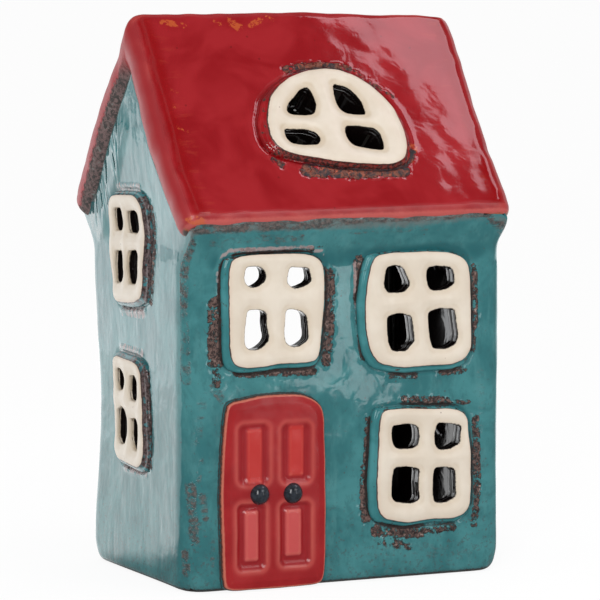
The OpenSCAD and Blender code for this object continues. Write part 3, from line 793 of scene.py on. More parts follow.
def buildRelief(name, window):
    plate = shapedPlate(name + "Glazed", window["outline"], -relief["embed"], relief["thickness"],
                        footSpread=relief["footSpread"])
    cutOut(plate, paneCutters("pane", window["panes"], -6, 6))
    remesh(plate, relief["cell"], relief["smoothing"])
    points = readPoints(plate)
    way, edge = fromOutline(points[:, :2], window["outline"])
    hole = np.min([outlineDistance(points[:, :2], pane) for pane in window["panes"]], 0)
    points[:, :2] -= way * np.where(edge > 0, 1 - towards(way, window["foot"]), 0)[:, None]
    front = ramp(points[:, 2], *relief["front"])
    points[:, 2] -= front * relief["dish"] * window["dish"] * np.exp(-(np.maximum(hole, 0) / relief["dishWide"]) ** 2)
    points[:, 2] -= front * relief["soft"] * ramp(edge, *relief["softSpan"])
    writePoints(plate, points)
    writeMasks(plate, fromEdge=edge, fromPane=hole, deep=relief["thickness"] - points[:, 2],
               bareFoot=towards(way, window["bareFoot"]))
    lumps(plate, *relief["lumps"])
    writeBend(plate, relief["cell"])
    plate.data.transform(faces[window["face"]])
    warpHouse(plate)
    return plate


print("windows: shaping", len(windows))
reliefs = {name: buildRelief(name, window) for name, window in windows.items()}


# Door with four sunk panels, and its two knobs

def boxDistance(flat, low, high, corner):
    middle, half = (np.array(low) + high) / 2, (np.array(high) - low) / 2
    past = np.abs(flat - middle) - half + corner
    return np.hypot(*np.maximum(past, 0).T) + np.minimum(past.max(1), 0) - corner


def buildDoor():
    plate = shapedPlate("front_doorGlazed", door["outline"], -door["embed"], door["thickness"],
                        footSpread=door["footSpread"])
    remesh(plate, door["cell"], door["smoothing"])
    points = readPoints(plate)
    flat = points[:, :2]
    edge = outlineDistance(flat, door["outline"])
    sunk, raised, rim = (np.zeros(len(points)) for mask in range(3))
    for number, (panel, field) in enumerate(zip(door["panels"], door["fields"])):
        row = door["rows"][number // 2]
        away = boxDistance(flat, *panel, door["panelCorner"])
        sunk = np.maximum(sunk, 1 - ramp(away, *row["groove"]))
        rim = np.maximum(rim, np.exp(-((away - 1) / 0.8) ** 2))
        within = 1 - ramp(boxDistance(flat, *field, door["fieldCorner"]), *row["field"])
        raised = np.maximum(raised, row["raise"] * within)
    front = ramp(points[:, 2], *door["front"])
    points[:, 2] += front * (raised - door["groove"] * sunk - door["soft"] * ramp(edge, *door["softSpan"]))
    writePoints(plate, points)
    writeMasks(plate, fromEdge=edge, sunk=sunk * front, raised=raised * front, rim=rim * front, upward=points[:, 1])
    lumps(plate, *door["lumps"])
    writeBend(plate, door["cell"])
    plate.data.transform(faces["front"])
    warpHouse(plate)
    return plate


def buildKnob(name, place):
    clearSelection()
    bpy.ops.mesh.primitive_uv_sphere_add(segments=48, ring_count=24, radius=door["knobRadius"] * mm)
    knob = bpy.context.object
    knob.name = name + "Glazed"
    editAll(knob)
    bpy.ops.mesh.bisect(plane_co=(0, 0, 0), plane_no=(0, 0, -1), use_fill=True, clear_outer=True)
    bpy.ops.mesh.select_all(action="SELECT")
    bpy.ops.transform.resize(value=(1, 1, (door["knobOut"] + door["knobEmbed"]) / door["knobRadius"]))
    endEdit()
    lumps(knob, 4, 0.2, 0)
    seat = (*place, door["thickness"] - door["knobEmbed"])
    knob.data.transform(faces["front"] @ Matrix.Translation(Vector(seat) * mm))
    warpHouse(knob)
    selectOnly(knob)
    bpy.ops.object.shade_smooth()
    return knob


print("door: plate and knobs")
doorPlate = buildDoor()
knobs = {name: buildKnob(name, place) for name, place in door["knobs"].items()}


# Floor slab inside the walls

def buildBase():
    t = house["wall"] - 0.3
    slab = addBlock("base_slabClay", (t - house["halfWidth"], t - house["halfDepth"], 0),
                    (house["halfWidth"] - t, house["halfDepth"] - t, house["floor"]))
    bevelEdges(slab, lambda p, q: abs(p.z - q.z) > 1, 2.5, 4)
    remesh(slab, 1, 2)
    points = readPoints(slab)
    writeGroup(slab, "top", ramp(points[:, 2], 1, 4))
    lumps(slab, 12, 0.5, 2, "top")
    writeMask(slab, "upward", points[:, 2])
    warpHouse(slab)
    return slab


baseSlab = buildBase()


# The tealight: pressed cup with a rolled rim, wax with a shallow dish, braided wick, metal foot

tealight = {
    "cupRadius": 19, "cupLow": 5.3, "cupHigh": 20.3, "cupThickness": 0.35, "ribs": 72, "rib": 0.12,
    "ribOut": (17.6, 18.4), "waxRadius": 18.5, "waxLow": 5.72, "waxHigh": 18.1, "dish": 0.5,
    "wickRadius": 0.75, "wickLow": 5.8, "wickHigh": 24, "wickCell": 0.16, "twist": 2.6, "strand": 0.09,
    "strandSunk": 0.12, "curlFrom": 19, "curl": 0.03,
}


def spun(name, profile, steps=96):
    # a lathe-turned piece from a profile of (radius, height)
    clearSelection()
    bpy.ops.mesh.primitive_circle_add(vertices=len(profile), radius=0.01, fill_type="NOTHING")
    piece = bpy.context.object
    piece.name = name
    for vertex, (radius, high) in zip(piece.data.vertices, profile):
        vertex.co = (radius * mm, 0, high * mm)
    editAll(piece)
    bpy.ops.mesh.spin(steps=steps, angle=math.radians(360), center=(0, 0, 0), axis=(0, 0, 1))
    bpy.ops.mesh.select_all(action="SELECT")
    bpy.ops.mesh.remove_doubles(threshold=0.01 * mm)
    bpy.ops.mesh.normals_make_consistent(inside=False)
    endEdit()
    selectOnly(piece)
    bpy.ops.object.shade_smooth_by_angle(angle=math.radians(35))
    return piece


def buildCup():
    r, low, high, t = (tealight[k] for k in ("cupRadius", "cupLow", "cupHigh", "cupThickness"))
    profile = [(0, low + 0.4), (6, low + 0.4), (7, low), (r - 1.4, low), (r - 0.5, low + 0.3), (r - 0.1, low + 1.2),
               (r, high - 1.2), (r + 0.35, high - 1), (r + 0.65, high - 0.55), (r + 0.62, high - 0.2),
               (r + 0.3, high), (r - 0.05, high - 0.1), (r - t + 0.08, high - 0.6), (r - t, high - 1.4),
               (r - 0.1 - t, low + 1.2), (r - 0.6 - t, low + t + 0.2), (r - 1.6, low + t), (7, low + t),
               (6, low + 0.4 + t), (0, low + 0.4 + t)]
    cup = spun("tealight_cupMetal", profile, tealight["ribs"] * 4)
    points = readPoints(cup)
    around = np.arctan2(points[:, 1], points[:, 0])
    out = np.hypot(points[:, 0], points[:, 1])
    side = ramp(out, *tealight["ribOut"]) * ramp(points[:, 2], low + 0.8, low + 2.4)
    side = side * (1 - ramp(points[:, 2], high - 3, high - 1.6))
    shift = tealight["rib"] * side * (np.cos(around * tealight["ribs"]) - 1)
    points[:, :2] *= (1 + shift / np.maximum(out, 1))[:, None]
    writePoints(cup, points)
    return cup


def buildWax():
    r, low, high, dish = (tealight[k] for k in ("waxRadius", "waxLow", "waxHigh", "dish"))
    profile = [(0, low), (r - 1.2, low), (r - 0.45, low + 0.7), (r - 0.15, high - 0.35), (r - 0.5, high),
               (r - 1.6, high - 0.1),
               (r - 4, high - dish * 0.7), (9, high - dish), (4, high - dish * 0.9), (1.8, high - dish * 0.5),
               (0, high - dish * 0.2)]
    wax = spun("tealight_waxCast", profile)
    applyModifier(wax, "SUBSURF", levels=1, render_levels=1)
    lumps(wax, 6, 0.25, 1)
    return wax


def buildWick():
    r, low, high, strand = (tealight[k] for k in ("wickRadius", "wickLow", "wickHigh", "strand"))
    clearSelection()
    bpy.ops.mesh.primitive_cylinder_add(vertices=24, radius=r * mm, depth=(high - low) * mm,
                                        location=(0, 0, (high + low) / 2 * mm))
    wick = keepPlace(bpy.context.object)
    wick.name = "wickBraid"
    remesh(wick, tealight["wickCell"], 1)
    points = readPoints(wick)
    around = np.arctan2(points[:, 1], points[:, 0])
    turn = points[:, 2] * tealight["twist"]
    braid = (strand * np.abs(np.cos(1.5 * around + turn)) + strand * np.abs(np.cos(1.5 * around - turn))
             - tealight["strandSunk"])
    out = np.maximum(np.hypot(points[:, 0], points[:, 1]), 0.2)
    points[:, :2] *= (1 + np.where(out > 0.4, braid, 0) / out)[:, None]
    rise = np.maximum(points[:, 2] - tealight["curlFrom"], 0)
    points[:, 0] += tealight["curl"] * rise ** 2
    writePoints(wick, points)
    return wick


print("tealight: cup, wax and wick")
cup = buildCup()
wax = buildWax()
wick = buildWick()


# Materials. A colour is written as it looks, in 0 to 255.

def shade(red, green, blue):
    parts = []
    for value in (red, green, blue):
        value /= 255
        parts.append(value / 12.92 if value <= 0.04045 else ((value + 0.055) / 1.055) ** 2.4)
    return (*parts, 1)


class Board:
    # a small drawing board for node trees: adds nodes in columns, links them, and holds the colour laid so far
    def __init__(self, tree):
        self.tree = tree
        self.count = 0
        self.colour = None

    def feed(self, socket, value):
        if isinstance(value, bpy.types.NodeSocket):
            self.tree.links.new(value, socket)
        else:
            socket.default_value = value

    def add(self, kind, inputs=None, **settings):
        node = self.tree.nodes.new("ShaderNode" + kind)
        node.location = (self.count * 190, -(self.count % 5) * 170)
        self.count += 1
        for name, value in settings.items():
            setattr(node, name, value)
        for name, value in (inputs or {}).items():
            self.feed(node.inputs[name], value)
        return node

    def noise(self, where, scale, detail=3, rough=0.6, warp=0):
        return self.add("TexNoise", {"Vector": where, "Scale": scale, "Detail": detail, "Roughness": rough,
                                     "Distortion": warp}).outputs["Fac"]

    def step(self, value, low, high, to=1.0, start=0.0):
        return self.add("MapRange", {"Value": value, "From Min": low, "From Max": high, "To Min": start,
                                     "To Max": to},
                        interpolation_type="SMOOTHSTEP").outputs["Result"]

    def math(self, operation, a, b=0.0, c=0.0):
        return self.add("Math", {0: a, 1: b, 2: c}, operation=operation).outputs[0]

    def times(self, a, b):
        return self.math("MULTIPLY", a, b)

    def scaled(self, a, b, c):
        return self.math("MULTIPLY_ADD", a, b, c)

    def most(self, a, b):
        return self.math("MAXIMUM", a, b)

    def mix(self, share, first, second):
        node = self.add("Mix", data_type="RGBA")
        for number, value in ((0, share), (6, first), (7, second)):
            isShade = isinstance(value, tuple) and len(value) == 3
            self.feed(node.inputs[number], shade(*value) if isShade else value)
        return node.outputs[2]

    def cover(self, share, colour, amount=1):
        # lays a colour over the one so far
        self.colour = self.mix(share if amount == 1 else self.times(share, amount), self.colour, colour)

    def mask(self, name):
        return self.add("Attribute", attribute_name=name).outputs["Fac"]

    def stretched(self, where, scale):
        return self.add("Mapping", {"Vector": where, "Scale": scale}).outputs["Vector"]

    def axes(self, where):
        return self.add("SeparateXYZ", {0: where}).outputs

    def group(self, tree, **inputs):
        return self.add("Group", inputs, node_tree=tree).outputs

    def crusted(self, dark, middle, pale, **inputs):
        return self.group(crustLook, Place=self.where, Dark=shade(*dark), Middle=shade(*middle), Pale=shade(*pale),
                          **inputs)

    def specked(self, spread, size):
        return self.group(specks, Place=self.where, Spread=spread, Size=size)["Mask"]

    def waved(self, slow, fine, extra=0.0):
        return self.group(waves, Place=self.where, Slow=slow, Fine=fine, Extra=extra)["Normal"]

    def bumped(self, strength, distance, high):
        return self.add("Bump", {"Strength": strength, "Distance": distance, "Height": high}).outputs["Normal"]

    def finish(self, rough, normal):
        for name, value in (("Base Color", self.colour), ("Roughness", rough), ("Normal", normal)):
            self.feed(self.shader.inputs[name], value)
        return self.material


def newGroup(name, inputs, outputs):
    tree = bpy.data.node_groups.new(name, "ShaderNodeTree")
    for label, kind, value in inputs:
        socket = tree.interface.new_socket(label, in_out="INPUT", socket_type="NodeSocket" + kind)
        if value is not None:
            socket.default_value = value
    for label, kind in outputs:
        tree.interface.new_socket(label, in_out="OUTPUT", socket_type="NodeSocket" + kind)
    start = tree.nodes.new("NodeGroupInput").outputs
    end = tree.nodes.new("NodeGroupOutput").inputs
    return tree, Board(tree), start, end


def wavesGroup():
    # the slow unevenness and the fine orange peel of a thick glaze
    inputs = [("Place", "Vector", None), ("Slow", "Float", 0.25), ("Fine", "Float", 0.05), ("Extra", "Float", 0.0)]
    tree, board, start, end = newGroup("glazeWaves", inputs, [("Normal", "Vector")])
    slow = board.noise(start["Place"], 170, 2, 0.5, 0.6)
    fine = board.noise(start["Place"], 620, 2, 0.5)
    high = board.math("ADD", board.scaled(fine, start["Fine"], board.times(slow, start["Slow"])), start["Extra"])
    board.feed(end["Normal"], board.bumped(1.0, 0.001, high))
    return tree


def crustGroup():
    # crawled, unglazed crust: brown-grey grains with dark gaps and a few pale ones
    inputs = [("Place", "Vector", None), ("Dark", "Color", shade(48, 34, 30)),
              ("Middle", "Color", shade(112, 84, 74)),
              ("Pale", "Color", shade(168, 148, 140)), ("Grain", "Float", 900.0)]
    tree, board, start, end = newGroup("kilnCrust", inputs, [("Color", "Color"), ("Height", "Float")])
    grain = board.noise(start["Place"], start["Grain"], 4, 0.65, 0.8)
    patch = board.noise(start["Place"], 330, 2)
    board.colour = board.mix(board.step(grain, 0.4, 0.58), start["Dark"], start["Middle"])
    board.cover(board.times(board.step(grain, 0.52, 0.7), board.step(patch, 0.48, 0.62)), start["Pale"])
    board.feed(end["Color"], board.colour)
    board.feed(end["Height"], grain)
    return tree


def speckleGroup():
    # small dark iron specks that burn through a glaze
    inputs = [("Place", "Vector", None), ("Spread", "Float", 420.0), ("Size", "Float", 0.12)]
    tree, board, start, end = newGroup("ironSpecks", inputs, [("Mask", "Float")])
    cells = board.add("TexVoronoi", {"Vector": start["Place"], "Scale": start["Spread"]}, feature="F1").outputs
    choose = board.add("TexWhiteNoise", {"Vector": cells["Position"]}, noise_dimensions="3D").outputs["Value"]
    near = board.math("LESS_THAN", cells["Distance"], start["Size"])
    board.feed(end["Mask"], board.times(near, board.math("GREATER_THAN", choose, 0.7)))
    return tree


waves, crustLook, specks = wavesGroup(), crustGroup(), speckleGroup()
glazeShine = {"Specular IOR Level": 0.5, "IOR": 1.5}
darkGlaze = (20, 13, 12)


def startMaterial(name, values):
    material = bpy.data.materials.new(name)
    material.use_nodes = True
    material.node_tree.nodes.clear()
    board = Board(material.node_tree)
    board.material = material
    board.shader = board.add("BsdfPrincipled", values)
    output = board.add("OutputMaterial", {"Surface": board.shader.outputs["BSDF"]})
    board.shader.location, output.location = (2600, 0), (2900, 0)
    board.where = board.add("TexCoord").outputs["Object"]
    return board, board.where


def raggedMasks(board, grit, patch):
    # grain about zero, and a coarser raggedness of both noises
    grain = board.scaled(grit, 1.0, -0.5)
    return grain, board.scaled(grain, 1.5, board.scaled(patch, 1.6, -0.8))


def crustMasks(board, grain, ragged, groove):
    # crust beside the reliefs, its dark rim, and the dark line in the groove between them, painted shade over dark
    # clay
    away, weight = board.mask("fromRelief"), board.mask("crustAmount")
    crawled = board.times(weight, board.scaled(ragged, 1.8, 1.0))
    band = board.times(board.step(board.scaled(grain, 0.8, away), 1.9, groove["inner"]),
                       board.step(board.scaled(grain, groove["rag"], away), *groove["outer"]))
    line = board.times(band, board.step(board.scaled(grain, 0.8, weight), groove["least"], 0.3))
    return board.step(crawled, 0.64, 0.78), board.step(crawled, 0.5, 0.62), line


def tealMaterial():
    board, where = startMaterial("tealGlaze", glazeShine)
    tone = board.noise(where, 55, 4, 0.65, 0.5)
    drift = board.noise(board.stretched(where, (1, 1, 0.35)), 240)
    grit = board.noise(where, 1000, 4, 0.7)
    patch = board.noise(where, 480, 4, 0.7)
    grain, ragged = raggedMasks(board, grit, patch)
    board.colour = board.mix(board.step(tone, 0.36, 0.66), (50, 110, 114), (70, 133, 136))
    board.cover(board.step(drift, 0.5, 0.72), (86, 142, 144), 0.4)
    # hollows hold a deeper pool of glaze, and sharp edges show a little brown
    bend = board.mask("bend")
    board.cover(board.step(board.times(bend, -1.0), 0.08, 0.3), (40, 100, 105))
    board.cover(board.step(board.scaled(grain, 0.2, bend), 0.26, 0.42), (122, 104, 98), 0.5)
    # specks everywhere, freckles most of all near the foot
    place = board.axes(where)
    low = board.step(place["Z"], 0.035, 0.004)
    freckles = board.times(board.step(board.scaled(low, 0.07, grit), 0.58, 0.68),
                           board.step(board.scaled(low, 0.06, patch), 0.48, 0.6))
    board.cover(board.most(board.specked(330.0, 0.1), freckles), (76, 66, 64), 0.5)
    cloudy = board.noise(board.stretched(where, (1, 1, 0.6)), 330, 4, 0.7)
    board.cover(board.step(cloudy, 0.5, 0.68), (44, 94, 98), 0.4)
    # brown breaks
    brown = board.mix(board.step(grit, 0.42, 0.6), (60, 52, 51), (100, 84, 79))
    smear = board.scaled(board.noise(board.stretched(where, (0.5, 1, 1)), 620, 4, 0.7), 4.0, -1.0)
    stain = board.step(board.times(board.mask("stainAmount"), smear), 0.4, 1.15)
    board.cover(stain, brown, 0.85)
    # crust, the groove's dark line of painted shade over dark clay, and the bare ridge of clay with a painted
    # highlight
    crust = board.crusted((44, 31, 30), (110, 85, 78), (174, 154, 146))
    crustMask, crustRim, line = crustMasks(board, grain, ragged,
                                           {"inner": 2.3, "outer": (3.5, 3.0), "rag": 1.0, "least": 0.06})
    doorLine = board.step(board.scaled(grain, 0.9, board.mask("fromDoor")), 0.9, 0.6)
    footLine = board.step(board.scaled(grain, 0.002, place["Z"]), 0.0014, 0.0008)
    dark = board.most(line, board.most(doorLine, footLine))
    board.cover(crustRim, (52, 50, 50), 0.8)
    board.cover(crustMask, crust["Color"])
    # the groove's dark line is painted shade over dark clay; with it go a dark line round the door and one along the
    # foot
    board.cover(dark, (48, 34, 31), 0.92)
    # on the gables the pale bare clay, partly a painted highlight, is drawn out in short upright streaks
    sides = board.step(board.math("ABSOLUTE", place["X"]), 0.0495, 0.0515)
    streaks = board.scaled(board.noise(board.stretched(where, (1, 1.5, 0.3)), 800, 2), 5.0, -2.7)
    drawn = board.scaled(sides, streaks, board.scaled(ragged, 0.9, 1.0))
    # pale bare clay on the pressed ridge, with a painted highlight on it
    board.cover(board.step(board.times(drawn, board.mask("paleAmount")), 0.45, 0.9), (180, 156, 154), 0.75)
    inner = board.mask("dark")
    inside = board.step(inner, 0.35, 0.6)
    board.cover(inside, darkGlaze)
    rough = board.most(crustMask, board.times(board.most(dark, stain), 0.5))
    rough = board.most(board.times(rough, board.math("SUBTRACT", 1.0, inside)),
                       board.times(inside, board.step(inner, 0.97, 0.8)))
    # the gables are brushed upright
    fine = board.times(board.noise(board.stretched(where, (1, 1, 0.35)), 560), 0.03)
    brushed = board.scaled(board.noise(board.stretched(where, (1, 1, 0.42)), 140, 2, 0.5, 0.4),
                           board.scaled(board.mask("rippleAmount"), 1.9, 0.34), fine)
    extra = board.scaled(brushed, sides, board.times(crust["Height"], board.times(rough, 0.5)))
    return board.finish(board.scaled(rough, 0.5, 0.08), board.waved(0.08, 0.004, extra))


def roofMaterial():
    board, where = startMaterial("roofGlaze", glazeShine)
    tone = board.noise(where, 48, 3, 0.6, 0.5)
    grit = board.noise(where, 900, 4, 0.7)
    patch = board.noise(where, 400, 4, 0.7)
    streak = board.noise(board.stretched(where, (0.35, 1.6, 1.6)), 420, 3, 0.6, 0.4)
    grain, rag = raggedMasks(board, grit, patch)
    board.colour = board.mix(board.step(tone, 0.36, 0.64), (144, 19, 26), (161, 34, 40))
    bend = board.mask("bend")
    board.cover(board.step(board.times(bend, -1.0), 0.03, 0.2), (124, 4, 9))
    # glaze pools inside the rakes and thins on the edges, whose paler colour is partly a painted highlight
    rake = board.mask("fromRake")
    pool = board.times(board.step(rake, 2.4, 4.0), board.step(board.scaled(grain, 3.0, rake), 8.5, 5.5))
    board.cover(pool, (140, 4, 8), 0.7)
    fingers = board.times(board.step(streak, 0.54, 0.68),
                          board.times(board.step(rake, 5, 6.5), board.step(rake, 14, 8)))
    board.cover(fingers, (176, 64, 44), 0.22)
    # paler edges: thin glaze and a painted highlight
    board.cover(board.step(board.scaled(grain, 0.12, bend), 0.14, 0.36), (196, 78, 72), 0.45)
    board.cover(board.step(rake, 2.4, 0.9), (160, 22, 30), 0.75)
    # the eave's lip is paler, thin glaze and a painted highlight, and breaks to rust and bare clay at its right and
    # its foot
    depth, fromEave = board.mask("depth"), board.mask("fromEave")
    lip = board.step(board.scaled(grain, 0.8, fromEave), 1.4, 0.6)
    # the lip's paler colour is partly a painted highlight
    board.cover(lip, (200, 96, 90), 0.75)
    ragged = board.scaled(rag, 2.0, board.scaled(board.mask("fromLeft"), 0.022, depth))
    rust = board.mix(board.step(grit, 0.42, 0.6), (110, 66, 48), (176, 92, 60))
    board.cover(board.times(lip, board.step(ragged, 4.3, 5.4)), rust)
    board.cover(board.times(lip, board.step(ragged, 5.6, 6.6)), (74, 66, 64))
    breaks = board.times(board.mask("breakAmount"), board.scaled(rag, 3.0, 1.0))
    board.cover(board.step(breaks, 0.5, 0.95), (196, 94, 48), 0.72)
    # crust under and over the window
    crust = board.crusted((50, 44, 48), (132, 72, 52), (210, 98, 70), Grain=560.0)
    crustMask, crustRim, line = crustMasks(board, grain, rag,
                                           {"inner": 2.4, "outer": (3.6, 2.9), "rag": 1.2, "least": 0.02})
    # the back slab's end and the overhangs are bare clay
    place = board.axes(where)
    behind = board.times(board.step(place["Y"], 0.0, 0.001), board.step(place["Z"], 0.158, 0.148))
    bareEnd = board.times(behind, board.times(board.step(ragged, 6.0, 7.2), board.step(rake, 3.4, 2.4)))
    bare = board.most(bareEnd, board.step(depth, 10.0, 10.6))
    mottle = board.crusted((66, 62, 60), (122, 100, 98), (116, 136, 130), Grain=700.0)
    board.cover(crustRim, (66, 42, 44), 0.75)
    board.cover(crustMask, crust["Color"])
    # the groove's dark line round the window is painted shade over dark clay
    board.cover(line, (48, 40, 44), 0.85)
    board.cover(bare, mottle["Color"])
    board.cover(board.specked(240.0, 0.09), (80, 24, 20), 0.4)
    inside = board.step(board.mask("dark"), 0.35, 0.6)
    board.cover(inside, darkGlaze)
    rough = board.times(board.most(crustMask, bare), board.math("SUBTRACT", 1.0, inside))
    satin = board.most(board.scaled(board.step(rake, 3.2, 1.2), 0.38, 0.07),
                       board.scaled(board.step(fromEave, 3.5, 2.0), 0.26, 0.07))
    extra = board.times(crust["Height"], board.times(rough, 0.6))
    return board.finish(board.scaled(rough, 0.4, satin), board.waved(0.05, 0.002, extra))


# How the cream ends where it meets each ground: the ground's two tones, the bare clay's, how far the cream runs into
# the panes, and how much painted shade lies round them
creams = {
    "front": {"name": "creamGlaze", "side": (70, 138, 142), "sideDark": (54, 120, 124), "bare": (96, 74, 70),
              "deep": 0.7, "rim": 0.25},
    "gable": {"name": "creamGableGlaze", "side": (64, 128, 134), "sideDark": (50, 108, 114), "bare": (104, 88, 88),
              "deep": 1.9, "rim": 0.2},
    "roof": {"name": "creamRoofGlaze", "side": (160, 22, 28), "sideDark": (124, 6, 12), "bare": (134, 56, 50),
             "deep": 1.1, "rim": 0.5},
}


def creamMaterial(cream):
    board, where = startMaterial(cream["name"], glazeShine)
    tone = board.noise(where, 90)
    grit = board.noise(where, 1100, 4, 0.65)
    board.colour = board.mix(board.step(tone, 0.36, 0.66), (221, 208, 190), (228, 217, 201))
    # painted shade: the cream is darker in its hollows
    board.cover(board.step(board.times(board.mask("bend"), -1.0), 0.0, 0.3), (198, 178, 148), 0.5)
    hole = board.mask("fromPane")
    # a ring of painted shade round the panes, by the ground's rim share
    board.cover(board.step(hole, 2.2, 0.4), (198, 176, 144), cream["rim"])
    board.cover(board.specked(260.0, 0.06), (130, 98, 80), 0.6)
    # past the edge follow a dark line, the ground's glaze, and bare clay on some sides
    wobble = board.scaled(board.noise(where, 500), 0.5, -0.25)
    edge = board.math("ADD", board.mask("fromEdge"), wobble)
    board.cover(board.step(edge, -1.2, 0.0), (208, 172, 146), 0.22)
    side = board.mix(board.step(tone, 0.4, 0.6), cream["sideDark"], cream["side"])
    clay = board.mix(board.step(grit, 0.4, 0.6), (50, 38, 36), cream["bare"])
    side = board.mix(board.step(board.scaled(wobble, 5.0, board.mask("bareFoot")), 0.36, 0.6), side, clay)
    board.cover(board.step(edge, 0.06, 0.2), (66, 44, 37))
    board.cover(board.step(edge, 0.32, 0.5), side)
    deep = board.step(board.scaled(grit, 0.5, board.mask("deep")), cream["deep"] + 0.2, cream["deep"] + 0.45)
    reveal = board.times(board.step(hole, 0.9, 0.6), deep)
    board.cover(reveal, (18, 12, 11))
    satin = board.scaled(board.most(reveal, board.step(edge, 0.3, 0.6)), -0.26, 0.36)
    return board.finish(satin, board.waved(0.12, 0.015))


def doorMaterial():
    board, where = startMaterial("doorGlaze", glazeShine)
    tone = board.noise(where, 70)
    grain = board.scaled(board.noise(where, 900, 4), 1.0, -0.5)
    board.colour = board.mix(board.step(tone, 0.38, 0.64), (150, 18, 24), (164, 28, 32))
    upward, fromEdge = board.mask("upward"), board.mask("fromEdge")
    board.cover(board.step(board.scaled(fromEdge, 4.0, upward), 34, 50), (150, 14, 18), 0.5)
    board.cover(board.mask("rim"), (204, 92, 84), 0.45)
    board.cover(board.mask("sunk"), (152, 30, 40), 0.6)
    panel = board.mix(board.step(upward, 30, 24), (194, 50, 44), (204, 84, 82))
    board.cover(board.step(board.mask("raised"), 0.2, 0.75), panel, 0.8)
    bend = board.mask("bend")
    board.cover(board.step(board.times(bend, -1.0), 0.1, 0.6), (150, 18, 24), 0.6)
    board.cover(board.step(board.scaled(grain, 0.2, bend), 0.2, 0.9), (210, 108, 94), 0.4)
    edge = board.scaled(grain, 0.4, fromEdge)
    board.cover(board.step(edge, -0.5, 0.0), (216, 132, 106), 0.6)
    board.cover(board.step(edge, 0.12, 0.24), (84, 52, 45))
    board.cover(board.step(edge, 0.4, 0.5), (50, 100, 104))
    return board.finish(board.scaled(tone, 0.1, 0.2), board.waved(0.1, 0.01))


def knobMaterial():
    board, where = startMaterial("knobGlaze", glazeShine)
    tone = board.noise(where, 500)
    board.colour = board.mix(board.step(tone, 0.4, 0.64), (30, 34, 40), (46, 52, 60))
    return board.finish(board.scaled(tone, 0.08, 0.06), board.waved(0.05, 0.006))


def clayMaterial():
    board, where = startMaterial("bareClay", {"Specular IOR Level": 0.4})
    grain = board.noise(where, 1500, 4, 0.7)
    board.colour = board.mix(board.step(board.noise(where, 90), 0.35, 0.65), (150, 112, 90), (172, 136, 112))
    board.cover(board.step(grain, 0.56, 0.7), (104, 74, 60), 0.6)
    glazed = board.step(board.mask("upward"), 3.4, 4.2)
    board.cover(glazed, (26, 18, 16))
    return board.finish(board.scaled(glazed, -0.55, 0.75), board.waved(0.3, 0.05, board.times(grain, 0.08)))


def cupMaterial():
    board, where = startMaterial("cupMetal", {"Metallic": 1.0})
    board.colour = board.mix(board.noise(where, 300), (146, 147, 150), (158, 159, 162))
    brush = board.noise(board.stretched(where, (1, 1, 14)), 500)
    return board.finish(board.scaled(brush, 0.16, 0.26), board.bumped(0.3, 0.00005, brush))


def footMaterial():
    board, where = startMaterial("wickFootMetal", {"Metallic": 1.0})
    tone = board.noise(where, 900)
    board.colour = board.mix(tone, (168, 168, 170), (208, 208, 210))
    return board.finish(board.scaled(tone, 0.2, 0.25), board.bumped(0.3, 0.00004, tone))


def waxMaterial():
    board, where = startMaterial("waxWhite", {"Specular IOR Level": 0.5, "Subsurface Weight": 0.25,
                                              "Subsurface Scale": 0.004})
    tone = board.noise(where, 160, 4)
    board.colour = board.mix(board.step(tone, 0.35, 0.65), (238, 234, 222), (246, 243, 235))
    board.cover(board.step(board.noise(where, 1100), 0.56, 0.68), (224, 219, 206), 0.35)
    return board.finish(board.scaled(tone, 0.2, 0.3), board.bumped(0.4, 0.0002, tone))


def cottonMaterial():
    board, where = startMaterial("wickCotton", {"Specular IOR Level": 0.3})
    fibre = board.noise(board.stretched(where, (1, 1, 0.3)), 4200)
    board.colour = board.mix(board.step(fibre, 0.4, 0.62), (206, 198, 180), (236, 231, 218))
    return board.finish(board.scaled(fibre, 0.15, 0.7), board.bumped(0.5, 0.0001, fibre))


print("materials: glazes, clay, metal and wax")
teal = tealMaterial()
roofRed = roofMaterial()
creamLooks = {place: creamMaterial(cream) for place, cream in creams.items()}

for name, piece in wallParts.items():
    finishPiece(piece, teal, "house", [name])
for name, piece in roofParts.items():
    finishPiece(piece, roofRed, "house", [name])
for name, piece in reliefs.items():
    look = creamLooks.get(windows[name]["face"], creamLooks["gable"])
    finishPiece(piece, look, "house", [name])
finishPiece(doorPlate, doorMaterial(), "house", ["front_door"])
knobLook = knobMaterial()
for name, piece in knobs.items():
    finishPiece(piece, knobLook, "house", [name])
finishPiece(baseSlab, clayMaterial(), "house", ["base_slab"])
finishPiece(cup, cupMaterial(), "tealight", ["tealight_cup"])
finishPiece(wax, waxMaterial(), "tealight", ["tealight_wax"])
finishPiece(wick, cottonMaterial(), "tealight", ["wick"])
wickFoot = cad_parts["wick_sustainer"]
wickFoot.data.materials.clear()
wickFoot.data.materials.append(footMaterial())


# Camera, floor and studio

camera = {"turn": -24.15, "rise": 6.26, "distance": 1276.5, "target": (1.85, 0, 80.6), "lens": 253.5}


def placeCamera():
    turn, rise = math.radians(camera["turn"]), math.radians(camera["rise"])
    back = Vector((math.sin(turn) * math.cos(rise), -math.cos(turn) * math.cos(rise), math.sin(rise)))
    target = Vector(camera["target"]) * mm
    clearSelection()
    bpy.ops.object.camera_add(location=target + back * camera["distance"] * mm)
    eye = bpy.context.object
    eye.rotation_euler = back.to_track_quat("Z", "Y").to_euler()
    eye.data.lens = camera["lens"]
    eye.data.sensor_width = 36
    eye.data.sensor_fit = "HORIZONTAL"
    eye.data.clip_start = 0.01
    scene.camera = eye


